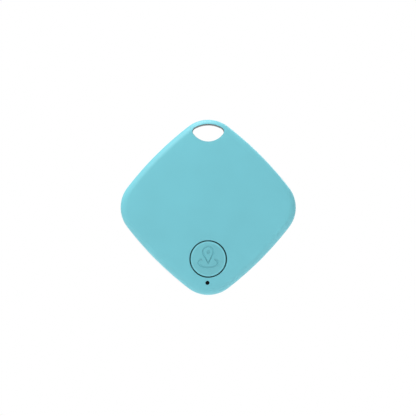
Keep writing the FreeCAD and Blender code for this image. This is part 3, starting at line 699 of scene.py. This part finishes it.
def speckled(name, tone, spot, size, roughness, depth=0.004 * MM, metallic=0.0):
    """Fired, pressed or cast stuff: a body colour with fine spots and a slight tooth."""
    n = Nodes(name)
    grains = n.noise(size, 5.0, 0.7)
    base = n.mix(n.ramp(grains, 0.45, 0.62), tone, spot)
    rough = n.ramp(grains, 0.3, 0.7, roughness - 0.05, roughness + 0.07)
    return n.set(Base_Color=base, Roughness=rough, Metallic=metallic,
                 Normal=n.bump(grains, depth, 0.5))


def button_plastic(button, case):
    """The button's rim in one tone and its swelling middle in a deeper one, with a fine grain and
    painted shade in its sunk lines and gaps.
    """
    n = Nodes("button_satin")
    away = n.distance(BUTTON)
    middle = n.ramp(away, button.dome_radius - 0.05 * MM, button.dome_radius + 0.05 * MM, 1.0, 0.0)
    clouds = n.ramp(n.noise(9 * MM, 2.0), 0.3, 0.7)
    disc = n.mix(clouds, shade(button.middle, 0.98), shade(button.middle, 1.02))
    fine = n.noise(case.grain * 0.8, 4.0, 0.6)
    rubbed = n.ramp(n.noise(4 * MM, 5.0, 0.65), 0.5, 0.8)
    rough = n.ramp(fine, 0.25, 0.75, 0.38, 0.46)
    rough = n.maths("SUBTRACT", rough, n.maths("MULTIPLY", rubbed, 0.05))
    # Painted shade: the colour is darkened by up to half in the sunk lines and narrow gaps.
    base = n.painted_crevice_shade(n.mix(middle, button.plastic, disc), 0.6 * MM, 0.5)
    return n.set(Base_Color=base, Roughness=rough,
                 Normal=n.bump(fine, 0.003 * MM, 0.5))


def smoked_window():
    """Nearly black, polished plastic with a faint warm cloud where the light sits behind it."""
    n = Nodes("smoked_window")
    cloud = n.ramp(n.noise(0.5 * MM, 2.0), 0.35, 0.65)
    base = n.mix(cloud, (0.0005, 0.001, 0.001), (0.004, 0.0015, 0.002))
    rough = n.ramp(n.noise(0.2 * MM, 4.0), 0.3, 0.7, 0.10, 0.18)
    return n.set(Base_Color=base, Roughness=rough, Specular_IOR_Level=0.12,
                 Normal=n.bump(cloud, 0.004 * MM, 0.3))


def board_laminate():
    """Green solder mask: copper tracks and fills show as faint ridges over the woven base."""
    n = Nodes("board_laminate")
    turned = n.add("ShaderNodeMapping", Vector=n.place)
    turned.inputs["Rotation"].default_value = (math.pi / 2, 0, 0)
    grid = n.add("ShaderNodeTexBrick", {"offset": 0.37, "squash": 1.6},
                 Vector=turned.outputs["Vector"], Scale=1 / (2.2 * MM))
    grid.inputs["Mortar Size"].default_value = 0.09
    grid.inputs["Mortar Smooth"].default_value = 0.2
    patches = n.ramp(n.noise(4.5 * MM, 1.0), 0.48, 0.52)
    tracks = n.maths("MULTIPLY", grid.outputs["Fac"], patches)
    copper = n.maths("MAXIMUM", tracks, n.ramp(n.noise(9 * MM, 0.0), 0.56, 0.58))
    weave = n.add("ShaderNodeTexWave", {"wave_type": "BANDS", "bands_direction": "X"},
                  Vector=n.place, Scale=1 / (0.5 * MM)).outputs["Fac"]
    bare = n.mix(n.maths("MULTIPLY", weave, 0.25), (0.012, 0.098, 0.050), (0.018, 0.118, 0.060))
    rough = n.ramp(n.noise(0.4 * MM, 3.0), 0.3, 0.7, 0.24, 0.34)
    return n.set(Base_Color=n.mix(copper, bare, (0.018, 0.130, 0.062)), Roughness=rough,
                 Normal=n.bump(copper, 0.02 * MM, 0.7))


def rings_about(n, centre, spacing):
    """Fine turned rings round an axis, from the distance to it."""
    rings = n.add("ShaderNodeTexNoise", {"noise_dimensions": "1D"}, W=n.distance(centre),
                  Scale=1 / spacing, Detail=3.0)
    return rings.outputs["Fac"]


def turned_metal(name, tone, centre, roughness):
    """Plated or rolled metal with fine rings about an axis and handling marks."""
    n = Nodes(name)
    rings = rings_about(n, centre, 0.05 * MM)
    marks = n.ramp(n.noise(2.5 * MM, 6.0, 0.7), 0.5, 0.8)
    base = n.mix(marks, tone, shade(tone, 0.88))
    rough = n.maths("ADD", n.ramp(rings, 0.3, 0.7, roughness - 0.05, roughness + 0.05),
                    n.maths("MULTIPLY", marks, 0.12))
    return n.set(Base_Color=base, Roughness=rough, Metallic=1.0,
                 Normal=n.bump(rings, 0.002 * MM, 0.4))


def plated_cell(cell):
    return turned_metal("plated_cell", tuple(cell.steel), CELL, 0.25)


def clear_resin():
    """Slightly cloudy cast resin."""
    n = Nodes("clear_resin")
    haze = n.noise(0.3 * MM, 4.0)
    base = n.mix(n.ramp(haze, 0.35, 0.65), (0.86, 0.85, 0.80), (0.93, 0.92, 0.88))
    return n.set(Base_Color=base, Roughness=n.ramp(haze, 0.3, 0.7, 0.06, 0.14),
                 Transmission_Weight=0.85, IOR=1.5, Normal=n.bump(haze, 0.002 * MM, 0.3))


def moulded_chip(name, tone):
    """Filled moulding resin with glinting grit and a faint sawn grain across it."""
    n = Nodes(name)
    grit = n.noise(0.045 * MM, 4.0, 0.75)
    sawn = n.noise(0.05 * MM, 2.0, 0.5, n.stretched((1, 1, 18)))
    base = n.mix(n.ramp(grit, 0.5, 0.68), tone, shade(tone, 2.2))
    rough = n.ramp(grit, 0.3, 0.7, 0.42, 0.58)
    height = n.maths("ADD", grit, n.maths("MULTIPLY", sawn, 0.4))
    return n.set(Base_Color=base, Roughness=rough, Normal=n.bump(height, 0.004 * MM, 0.5))


def wire_coat(name, tone):
    """Soft, slightly waxy insulation with a fine drawn grain along the wire."""
    n = Nodes(name)
    drawn = n.noise(0.08 * MM, 3.0, 0.5, n.stretched((6, 6, 1)))
    base = n.mix(n.ramp(drawn, 0.3, 0.7), shade(tone, 0.9), shade(tone, 1.08))
    rough = n.ramp(drawn, 0.3, 0.7, 0.34, 0.46)
    return n.set(Base_Color=base, Roughness=rough, Normal=n.bump(drawn, 0.002 * MM, 0.5))


def dipped_ceramic(name, tone, grain):
    """A fired body whose ends, the faces that look up and down, are dipped in tin."""
    n = Nodes(name)
    grains = n.noise(grain, 5.0, 0.7)
    facing = n.add("ShaderNodeNewGeometry").outputs["Normal"]
    split = n.add("ShaderNodeSeparateXYZ", Vector=facing)
    ends = n.ramp(n.maths("ABSOLUTE", split.outputs["X"]), 0.6, 0.7)
    body = n.mix(n.ramp(grains, 0.45, 0.62), tone, shade(tone, 0.8))
    rough = n.ramp(grains, 0.3, 0.7, 0.4, 0.52)
    return n.set(Base_Color=n.mix(ends, body, (0.62, 0.62, 0.61)), Roughness=rough,
                 Metallic=ends, Normal=n.bump(grains, 0.004 * MM, 0.4))


# ---------------------------------------------------------------- pieces


class TAG_OT_front_shell(bpy.types.Operator):
    """Model the crowned front shell with its eye, button hole, window hole and inside"""
    bl_idname = "tag.front_shell"
    bl_label = "Front shell"
    bl_options = {"REGISTER", "UNDO"}

    def execute(self, context):
        scene = context.scene
        case, eye, button, pegs = scene.tag_case, scene.tag_eye, scene.tag_button, scene.tag_pegs
        shell = front_block("case_front", case, 0.0, SEAM_Y)
        soften_seam(shell, case, SEAM_Y)
        far = SEAM_Y + MM
        ring_radius = button.radius + button.ring_gap
        holes = [
            flared("eye_hole", eye_arcs(eye, eye.rim_round), FRONT_Y, eye.rim_round, far, case),
            flared("button_hole", circle_arcs(BUTTON.x, BUTTON.z, ring_radius + button.ring_soft,
                                              96), FRONT_Y, button.ring_soft, far, case),
            flared("window_hole", circle_arcs(WINDOW.x, WINDOW.z, button.window_radius
                                              + button.ring_soft / 2, 40),
                   FRONT_Y, button.ring_soft / 2, far, case),
        ]
        combine(shell, holes)
        combine(shell, [self.hollow(case, eye, button, pegs)])
        combine(shell, self.bores(case, eye, pegs))
        finish(shell, "front", ["front_shell"], "case_plastic",
               moulded_plastic("case_satin", case.plastic, case.grain))
        return {"FINISHED"}

    def hollow(self, case, eye, button, pegs):
        """The space inside the front shell, less its collars, bosses, sockets and seat."""
        far = SEAM_Y + MM
        near = FRONT_Y - MM
        hollow = front_block("front_hollow", case, case.wall, far)
        tools = [
            brick("solid_corner", (-SPAN, near, -eye.shoulder), (SPAN, far + MM, SPAN)),
            prism("eye_collar", eye_arcs(eye, eye.collar), near, far + 2 * MM),
        ]
        radius = button.radius + button.ring_gap
        tools.append(bar("button_collar", BUTTON.x, BUTTON.z, radius + COLLAR_WALL, near,
                         SEAT_Y, 96))
        tools.append(bar("window_sleeve", WINDOW.x, WINDOW.z, button.window_radius + SLEEVE_WALL,
                         near, SEAT_Y, 48))
        for side in (-1, 1):
            middle = BUTTON.x + side * POST_OFFSET
            low = BUTTON.z + radius - 0.3 * MM
            tools.append(brick("lug_post", (middle - POST_HALF, near, low),
                               (middle + POST_HALF, LUG_END_Y + 0.25 * MM, low + 1.3 * MM)))
        for x, z in screw_places():
            tools.append(bar("boss", x, z, pegs.boss_radius, near, BOARD_FRONT_Y))
        for x, z in peg_places(case, pegs):
            tools.append(bar("socket", x, z, pegs.socket_radius, near, SEAM_Y - pegs.drop))
        seat_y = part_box("sounder_tape")[0].y
        seat = bar("sounder_seat", SOUNDER.x, SOUNDER.z, SEAT_OUTER, near, seat_y, 96)
        tools.append(combine(seat, [bar("seat_core", SOUNDER.x, SOUNDER.z, SEAT_INNER, near - MM,
                                        seat_y + MM, 96)]))
        return combine(hollow, tools)

    def bores(self, case, eye, pegs):
        """What is cut out of the finished front shell: the rebate and the blind bores."""
        far = SEAM_Y + MM
        floor = SEAM_Y - case.tongue_height - SLIP
        rebate = prism("rebate", outline_arcs(case, case.tongue_wall), floor, far)
        keep = [
            prism("rebate_core", outline_arcs(case, case.wall + SLIP), floor - MM, far + MM),
            brick("solid_corner", (-SPAN, floor - 2 * MM, -eye.shoulder),
                  (SPAN, far + 2 * MM, SPAN)),
            prism("eye_collar", eye_arcs(eye, eye.collar), floor - 3 * MM, far + 3 * MM),
        ]
        tools = [combine(rebate, keep)]
        for x, z in peg_places(case, pegs):
            tools.append(bar("peg_bore", x, z, pegs.radius + SLIP,
                             SEAM_Y - pegs.drop - pegs.reach - 0.2 * MM, far, 32))
        for x, z in screw_places():
            tools.append(bar("pilot", x, z, PILOT_RADIUS, BOARD_FRONT_Y - PILOT_DEPTH,
                             BOARD_FRONT_Y + 0.1 * MM, 24))
        return tools


class TAG_OT_back_shell(bpy.types.Operator):
    """Model the flat back shell with its tongue, closing pegs, cell rib and pry notch"""
    bl_idname = "tag.back_shell"
    bl_label = "Back shell"
    bl_options = {"REGISTER", "UNDO"}

    def execute(self, context):
        scene = context.scene
        case, eye, pegs = scene.tag_case, scene.tag_eye, scene.tag_pegs
        shell = back_block("case_back", case, 0.0, SEAM_Y, BACK_Y)
        soften_seam(shell, case, SEAM_Y)
        hole = flared("eye_hole", eye_arcs(eye, eye.rim_round), BACK_Y, eye.rim_round,
                      SEAM_Y - MM)
        combine(shell, [hole, self.hollow(case, eye)])
        combine(shell, self.inner_features(case, eye, pegs), "UNION")
        combine(shell, [self.notch(case)])
        finish(shell, "back", ["back_shell"], "case_plastic",
               moulded_plastic("back_satin", case.plastic, case.grain * 1.4, 0.5))
        return {"FINISHED"}

    def hollow(self, case, eye):
        near = SEAM_Y - MM
        hollow = back_block("back_hollow", case, case.wall, near, BACK_Y - case.wall)
        return combine(hollow, [
            brick("solid_corner", (-SPAN, near - MM, -eye.shoulder), (SPAN, BACK_Y, SPAN)),
            prism("eye_collar", eye_arcs(eye, eye.collar), near - 2 * MM, BACK_Y + MM),
        ])

    def inner_features(self, case, eye, pegs):
        """The tongue, the pegs on their roots, and the rib that bears on the coin cell."""
        floor = BACK_Y - case.wall / 2
        start = SEAM_Y - case.tongue_height
        top = SEAM_Y + 0.4 * MM
        tongue = prism("tongue", outline_arcs(case, case.tongue_wall + SLIP), start, top)
        features = [combine(tongue, [
            prism("tongue_core", outline_arcs(case, case.wall), start - MM, top + MM),
            brick("solid_corner", (-SPAN, start - 2 * MM, -eye.shoulder - SLIP),
                  (SPAN, top + 2 * MM, SPAN)),
            prism("collar_room", eye_arcs(eye, eye.collar + SLIP), start - 3 * MM, top + 3 * MM),
        ])]
        root = SEAM_Y - pegs.drop + SLIP
        for x, z in peg_places(case, pegs):
            features.append(bar("peg_root", x, z, pegs.root_radius, root, floor))
            peg = bar("peg", x, z, pegs.radius, root - pegs.reach, floor - 0.1 * MM)
            edit(peg)
            pick("edges", level(root - pegs.reach))
            bpy.ops.mesh.bevel(offset=PEG_LEAD, segments=3, affect="EDGES")
            leave()
            features.append(peg)
        rib_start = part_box("cell_can")[1].y + SLIP
        rib = bar("cell_rib", CELL.x, CELL.z, RIB_OUTER, rib_start, floor, 96)
        features.append(combine(rib, [bar("rib_core", CELL.x, CELL.z, RIB_INNER, rib_start - MM,
                                          floor + MM, 96)]))
        return features

    def notch(self, case):
        """The slot for a coin's edge, in the lower right side at the seam."""
        flats = side_distance(case)
        slot = brick("notch", (-NOTCH_HALF, SEAM_Y - 3 * MM, flats - NOTCH_DEPTH),
                     (NOTCH_HALF, SEAM_Y + 0.8 * MM, flats + MM))
        edit(slot)

        def lower_upright(edge):
            a, b = [v.co for v in edge.verts]
            return abs(a.y - b.y) > MM and max(a.z, b.z) < flats

        pick("edges", lower_upright)
        bpy.ops.mesh.bevel(offset=0.6 * MM, segments=5, affect="EDGES")
        leave()
        slot.rotation_euler = (0, math.radians(135), 0)
        slot.location = (MIDDLE.x, 0, MIDDLE.z)
        settle(slot)
        return slot


class TAG_OT_button(bpy.types.Operator):
    """Model the push button: rim, swelling middle, sunk sign, skirt, guide ribs and lugs"""
    bl_idname = "tag.button"
    bl_label = "Button"
    bl_options = {"REGISTER", "UNDO"}

    def execute(self, context):
        scene = context.scene
        case, button = scene.tag_case, scene.tag_button
        cap = self.blank(case, button)
        combine(cap, self.guides(button), "UNION")
        combine(cap, self.sign(case, button))
        finish(cap, "button", ["button_cap"], "button_plastic", button_plastic(button, case))
        return {"FINISHED"}

    def blank(self, case, button):
        """A round bar whose end has a flat rim and a swelling middle, on the crown's slope."""
        cap = bar("push_button", BUTTON.x, BUTTON.z, button.radius, FRONT_Y, LUG_END_Y, 128)
        edit(cap)
        pick("faces", level(FRONT_Y))
        tight = 0.04 * MM
        rim = button.radius - button.dome_radius
        for thickness in (button.edge_round + tight, rim - button.edge_round - 2 * tight, tight,
                          tight, 0.25 * MM):
            bpy.ops.mesh.inset(thickness=thickness, use_even_offset=True)
        for scale in (0.93, 0.92, 0.9, 0.88, 0.86, 0.82, 0.78, 0.7, 0.55, 0.3):
            bpy.ops.mesh.inset(thickness=0.0)
            bpy.ops.transform.resize(value=(scale, 1, scale), center_override=BUTTON)
        mesh = bmesh.from_edit_mesh(cap.data)
        for vertex in mesh.verts:
            if abs(vertex.co.y - FRONT_Y) < 1e-6:
                away = Vector((vertex.co.x - BUTTON.x, vertex.co.z - BUTTON.z))
                vertex.co.y = face_depth(case, button, away)
        bmesh.update_edit_mesh(cap.data)

        def rim_edge(edge):
            away = [math.hypot(v.co.x - BUTTON.x, v.co.z - BUTTON.z) for v in edge.verts]
            return min(away) > button.radius - 2e-6 and max(v.co.y for v in edge.verts) < SEAT_Y

        pick("edges", rim_edge)
        bpy.ops.mesh.bevel(offset=button.edge_round, segments=5, profile=0.5, affect="EDGES",
                           clamp_overlap=False)
        leave()
        return cap

    def guides(self, button):
        """Three ribs that guide the button, three lugs that hold it in, and the nub."""
        tools = []
        core = 1.2 * MM
        radius = button.radius + button.ring_gap
        face_y = FRONT_Y + crown_drop(bpy.context.scene.tag_case, BUTTON)
        for degrees in (90, 210, 330):
            for wide, reach, start in (
                    (0.9 * MM, radius - SLIP, face_y + button.skirt),
                    (2.4 * MM, radius + 0.6 * MM, SEAT_Y + 0.02 * MM)):
                arm = brick("guide", (core, start, -wide / 2), (reach, LUG_END_Y, wide / 2))
                arm.rotation_euler = (0, -math.radians(degrees), 0)
                arm.location = (BUTTON.x, 0, BUTTON.z)
                settle(arm)
                tools.append(arm)
        tools.append(bar("nub", BUTTON.x, BUTTON.z, core, LUG_END_Y - 0.2 * MM,
                         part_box("button_cap")[1].y))
        return tools

    def sign(self, case, button):
        """Round-bottomed grooves: a map pin with an eye, over a ring that is open behind it."""
        slant = math.degrees(math.acos(button.head_radius / (button.head_up + button.tip_down)))
        pin = [(0, button.head_up, button.head_radius, slant - 90, 270 - slant, 40),
               (0, -button.tip_down, 0, 0, 0, 0)]
        wide, tall = button.ground_width / 2, button.ground_height / 2
        opening = math.tan(button.ground_opening / 2)
        end = math.degrees(math.atan2(wide, tall * opening))
        ring = [(0, 0, wide, -180 - end, end, 48)]
        eye_y = face_depth(case, button, Vector((0, button.head_up)))
        eye = bar("pin_eye", BUTTON.x, BUTTON.z + button.head_up, button.pin_eye,
                  eye_y - MM, eye_y + button.depth, 40)
        edit(eye)
        pick("edges", level(eye_y + button.depth, 1e-5))
        bpy.ops.mesh.bevel(offset=0.1 * MM, segments=3, affect="EDGES")
        leave()
        return [self.groove("pin", case, button, pin, True, 1.0, 0.0),
                self.groove("ground", case, button, ring, False, tall / wide, button.ground_up),
                eye]

    def groove(self, name, case, button, arcs, closed, squash, up):
        """A tube laid along a line just above the button's face, so that it cuts a round groove."""
        piece = draw(name, 0, arcs, closed)
        bpy.ops.transform.resize(value=(1, 1, squash), center_override=(0, 0, 0))
        radius = (button.line**2 / 4 + button.depth**2) / (2 * button.depth)
        mesh = bmesh.from_edit_mesh(piece.data)
        for vertex in mesh.verts:
            away = Vector((vertex.co.x, vertex.co.z + up))
            depth = face_depth(case, button, away) + button.depth - radius
            vertex.co = (BUTTON.x + away.x, depth, BUTTON.z + away.y)
        bmesh.update_edit_mesh(piece.data)
        leave()
        bpy.ops.object.convert(target="CURVE")
        piece.data.bevel_depth = radius
        piece.data.bevel_resolution = 6
        piece.data.use_fill_caps = not closed
        bpy.ops.object.convert(target="MESH")
        edit(piece)
        bpy.ops.mesh.select_all(action="SELECT")
        bpy.ops.mesh.remove_doubles(threshold=1e-7)
        bpy.ops.mesh.normals_make_consistent(inside=False)
        leave()
        return piece


class TAG_OT_window(bpy.types.Operator):
    """Model the dark light window, a rod with a round nose and a flange"""
    bl_idname = "tag.window"
    bl_label = "Light window"
    bl_options = {"REGISTER", "UNDO"}

    def execute(self, context):
        low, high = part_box("light_guide")
        button = context.scene.tag_button
        rod = bar("window_rod", WINDOW.x, WINDOW.z, button.window_radius - SLIP, low.y,
                  high.y, 48)
        edit(rod)
        pick("edges", level(low.y))
        bpy.ops.mesh.bevel(offset=0.12 * MM, segments=4, affect="EDGES")
        leave()
        combine(rod, [bar("flange", WINDOW.x, WINDOW.z, high.x - WINDOW.x,
                          SEAT_Y + 0.02 * MM, SEAT_Y + 0.35 * MM)], "UNION")
        finish(rod, "front", ["light_guide"], "smoked_window", smoked_window())
        return {"FINISHED"}


class TAG_OT_finishes(bpy.types.Operator):
    """Give every part inside the case its own procedural finish"""
    bl_idname = "tag.finishes"
    bl_label = "Inside finishes"
    bl_options = {"REGISTER", "UNDO"}

    def execute(self, context):
        tin = brushed_metal("tinned_metal", (0.72, 0.72, 0.70), 0.32, 0.1 * MM)
        spring = brushed_metal("spring_steel", (0.60, 0.59, 0.57), 0.24, 0.08 * MM, (30, 30, 1))
        sheet = brushed_metal("sheet_metal", (0.66, 0.66, 0.65), 0.28, 0.1 * MM)
        cell = plated_cell(context.scene.tag_cell)
        finishes = {
            "led_base": speckled("white_ceramic", (0.80, 0.80, 0.78), (0.70, 0.70, 0.66),
                                 0.08 * MM, 0.5),
            "led_lens": clear_resin(),
            "switch_base": speckled("black_nylon", (0.022, 0.022, 0.024), (0.04, 0.04, 0.042),
                                    0.10 * MM, 0.48),
            "switch_cover": sheet,
            "switch_plunger": speckled("plunger_plastic", (0.10, 0.10, 0.11), (0.15, 0.15, 0.16),
                                       0.12 * MM, 0.42),
            "switch_dome": spring,
            "switch_terminals": tin,
            "circuit_board": board_laminate(),
            "bluetooth_chip": moulded_chip("chip_resin", (0.020, 0.020, 0.022)),
            "buzzer_driver": moulded_chip("driver_resin", (0.024, 0.023, 0.024)),
            "driver_leads": tin,
            "main_crystal": brushed_metal("crystal_lid", (0.70, 0.69, 0.66), 0.26, 0.06 * MM),
            "clock_crystal": brushed_metal("clock_lid", (0.68, 0.68, 0.67), 0.24, 0.06 * MM,
                                           (30, 30, 1)),
            "capacitors": dipped_ceramic("tan_ceramic", (0.42, 0.29, 0.17), 0.06 * MM),
            "resistors": dipped_ceramic("resistor_black", (0.025, 0.025, 0.028), 0.05 * MM),
            "boost_inductor": speckled("ferrite_grey", (0.065, 0.063, 0.062),
                                       (0.11, 0.108, 0.105), 0.09 * MM, 0.55, 0.006 * MM),
            "bulk_capacitor": dipped_ceramic("bulk_ceramic", (0.36, 0.25, 0.15), 0.07 * MM),
            "chip_antenna": dipped_ceramic("antenna_ceramic", (0.74, 0.74, 0.72), 0.05 * MM),
            "sounder_tape": speckled("tape_black", (0.018, 0.018, 0.018), (0.035, 0.035, 0.035),
                                     0.15 * MM, 0.7),
            "sounder_plate": turned_metal("sounder_brass", (0.78, 0.56, 0.25), SOUNDER, 0.30),
            "sounder_ceramic": turned_metal("sounder_silver", (0.80, 0.79, 0.77), SOUNDER, 0.38),
            "sounder_lead_live": wire_coat("wire_red", (0.50, 0.015, 0.012)),
            "sounder_lead_ground": wire_coat("wire_black", (0.016, 0.016, 0.017)),
            "solder_joints": speckled("solder", (0.74, 0.74, 0.73), (0.60, 0.60, 0.60),
                                      0.12 * MM, 0.24, 0.008 * MM, 1.0),
            "cell_can": cell,
            "cell_cap": cell,
            "cell_seal": speckled("seal_grey", (0.16, 0.16, 0.16), (0.21, 0.21, 0.21),
                                  0.12 * MM, 0.5),
            "cell_lithium": speckled("lithium_metal", (0.62, 0.62, 0.60), (0.42, 0.42, 0.42),
                                     0.4 * MM, 0.5, 0.01 * MM, 1.0),
            "cell_separator": speckled("separator_white", (0.80, 0.80, 0.78),
                                       (0.70, 0.70, 0.68), 0.10 * MM, 0.8, 0.006 * MM),
            "cell_cathode": speckled("cathode_black", (0.020, 0.020, 0.020),
                                     (0.045, 0.045, 0.045), 0.08 * MM, 0.85, 0.008 * MM),
            "cell_holder": speckled("holder_nylon", (0.026, 0.026, 0.028), (0.042, 0.042, 0.045),
                                    0.14 * MM, 0.45),
            "positive_contact": spring,
            "negative_contact": spring,
            "holder_screws": brushed_metal("screw_steel", (0.52, 0.51, 0.50), 0.30, 0.08 * MM),
        }
        for name, material in finishes.items():
            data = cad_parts[name].data
            data.materials.clear()
            data.materials.append(material)
        return {"FINISHED"}


class TAG_OT_stage(bpy.types.Operator):
    """Set the pale floor, the soft lights, the white surroundings and the camera"""
    bl_idname = "tag.stage"
    bl_label = "Stage"
    bl_options = {"REGISTER", "UNDO"}

    def execute(self, context):
        stage = context.scene.tag_stage
        context.scene.view_settings.view_transform = "Standard"
        self.floor(stage)
        self.surroundings(context.scene, stage)
        self.softbox("key", stage.key_power, stage.key_distance, Vector((-0.50, -0.45, 0.70)))
        self.distant("top", stage.top_power, Vector((-0.15, 0.10, 1.00)))
        self.distant("back", stage.back_power, Vector((0.50, 1.00, 0.40)))
        self.camera(context.scene, stage)
        return {"FINISHED"}

    def floor(self, stage):
        deselect()
        bpy.ops.mesh.primitive_plane_add(size=stage.floor_span,
                                         location=(0, 0, MIDDLE.z - stage.floor_drop))
        floor = bpy.context.object
        floor.name = "floor"
        n = Nodes("floor_pale")
        paint = n.noise(0.4, 3.0)
        n.set(Base_Color=n.mix(paint, stage.floor_colour, shade(stage.floor_colour, 0.985)),
              Roughness=n.ramp(paint, 0.3, 0.7, 0.75, 0.85))
        floor.data.materials.append(n.material)

    def surroundings(self, scene, stage):
        """White behind the tag; for the light it gives, brighter overhead than underneath."""
        world = scene.world or bpy.data.worlds.new("World")
        scene.world = world
        world.use_nodes = True
        tree = world.node_tree
        tree.nodes.clear()

        def new(kind, **settings):
            node = tree.nodes.new(kind)
            for key, value in settings.items():
                setattr(node, key, value)
            return node

        way = new("ShaderNodeTexCoord")
        split = new("ShaderNodeSeparateXYZ")
        tree.links.new(way.outputs["Generated"], split.inputs[0])
        height = new("ShaderNodeMapRange")
        height.inputs["From Min"].default_value = -0.6
        height.inputs["From Max"].default_value = 0.8
        height.inputs["To Min"].default_value = stage.ambient_low
        height.inputs["To Max"].default_value = stage.ambient_high
        tree.links.new(split.outputs["Z"], height.inputs["Value"])
        path = new("ShaderNodeLightPath")
        mix = new("ShaderNodeMix", data_type="FLOAT")
        tree.links.new(path.outputs["Is Camera Ray"], mix.inputs[0])
        tree.links.new(height.outputs["Result"], mix.inputs[2])
        mix.inputs[3].default_value = 1.0
        background = new("ShaderNodeBackground")
        background.inputs["Color"].default_value = (1, 1, 1, 1)
        tree.links.new(mix.outputs[0], background.inputs["Strength"])
        output = new("ShaderNodeOutputWorld")
        tree.links.new(background.outputs[0], output.inputs["Surface"])

    def distant(self, name, power, direction):
        """A large, soft, distant light that shines from a direction towards the tag."""
        deselect()
        bpy.ops.object.light_add(type="SUN", location=direction)
        lamp = bpy.context.object
        lamp.name = name
        lamp.data.energy = power
        lamp.data.angle = math.radians(40)
        lamp.rotation_euler = direction.to_track_quat("Z", "Y").to_euler()

    def softbox(self, name, power, distance, direction):
        """A square light near enough to the tag that its light falls off across the face."""
        deselect()
        place = MIDDLE + direction.normalized() * distance
        bpy.ops.object.light_add(type="AREA", location=place)
        lamp = bpy.context.object
        lamp.name = name
        lamp.data.energy = power * math.pi * distance**2
        lamp.data.size = distance * 0.6
        lamp.visible_camera = False
        lamp.rotation_euler = direction.to_track_quat("Z", "Y").to_euler()

    def camera(self, scene, stage):
        deselect()
        place = MIDDLE + Vector((stage.camera_x, -stage.distance, stage.camera_z))
        bpy.ops.object.camera_add(location=place, rotation=(math.pi / 2, 0, 0))
        camera = bpy.context.object
        camera.data.sensor_width = 36
        camera.data.angle = stage.view_angle
        camera.data.clip_start = 0.01
        camera.data.clip_end = 100
        scene.camera = camera


class TAG_PT_panel(bpy.types.Panel):
    """Lists the pieces of the tag in the order in which they are built"""
    bl_idname = "TAG_PT_panel"
    bl_label = "Tracker tag"
    bl_space_type = "VIEW_3D"
    bl_region_type = "UI"
    bl_category = "Tracker tag"

    def draw(self, context):
        for operator in OPERATORS:
            self.layout.operator(operator.bl_idname)
        for name in SETTINGS:
            box = self.layout.box()
            settings = getattr(context.scene, name)
            for key in settings.bl_rna.properties.keys():
                if key not in ("rna_type", "name"):
                    box.prop(settings, key)


SETTINGS = {
    "tag_case": TagCaseSettings,
    "tag_eye": TagEyeSettings,
    "tag_button": TagButtonSettings,
    "tag_pegs": TagPegSettings,
    "tag_cell": TagCellSettings,
    "tag_stage": TagStageSettings,
}
OPERATORS = (TAG_OT_front_shell, TAG_OT_back_shell, TAG_OT_button, TAG_OT_window,
             TAG_OT_finishes, TAG_OT_stage)


def register():
    for settings in SETTINGS.values():
        bpy.utils.register_class(settings)
    for operator in OPERATORS:
        bpy.utils.register_class(operator)
    bpy.utils.register_class(TAG_PT_panel)
    for name, settings in SETTINGS.items():
        setattr(bpy.types.Scene, name, bpy.props.PointerProperty(type=settings))


def unregister():
    for name in SETTINGS:
        delattr(bpy.types.Scene, name)
    bpy.utils.unregister_class(TAG_PT_panel)
    for operator in reversed(OPERATORS):
        bpy.utils.unregister_class(operator)
    for settings in reversed(SETTINGS.values()):
        bpy.utils.unregister_class(settings)


def main():
    register()
    bpy.ops.tag.front_shell()
    bpy.ops.tag.back_shell()
    bpy.ops.tag.button()
    bpy.ops.tag.window()
    bpy.ops.tag.finishes()
    bpy.ops.tag.stage()
    bpy.context.view_layer.update()


if __name__ == "__main__":
    main()
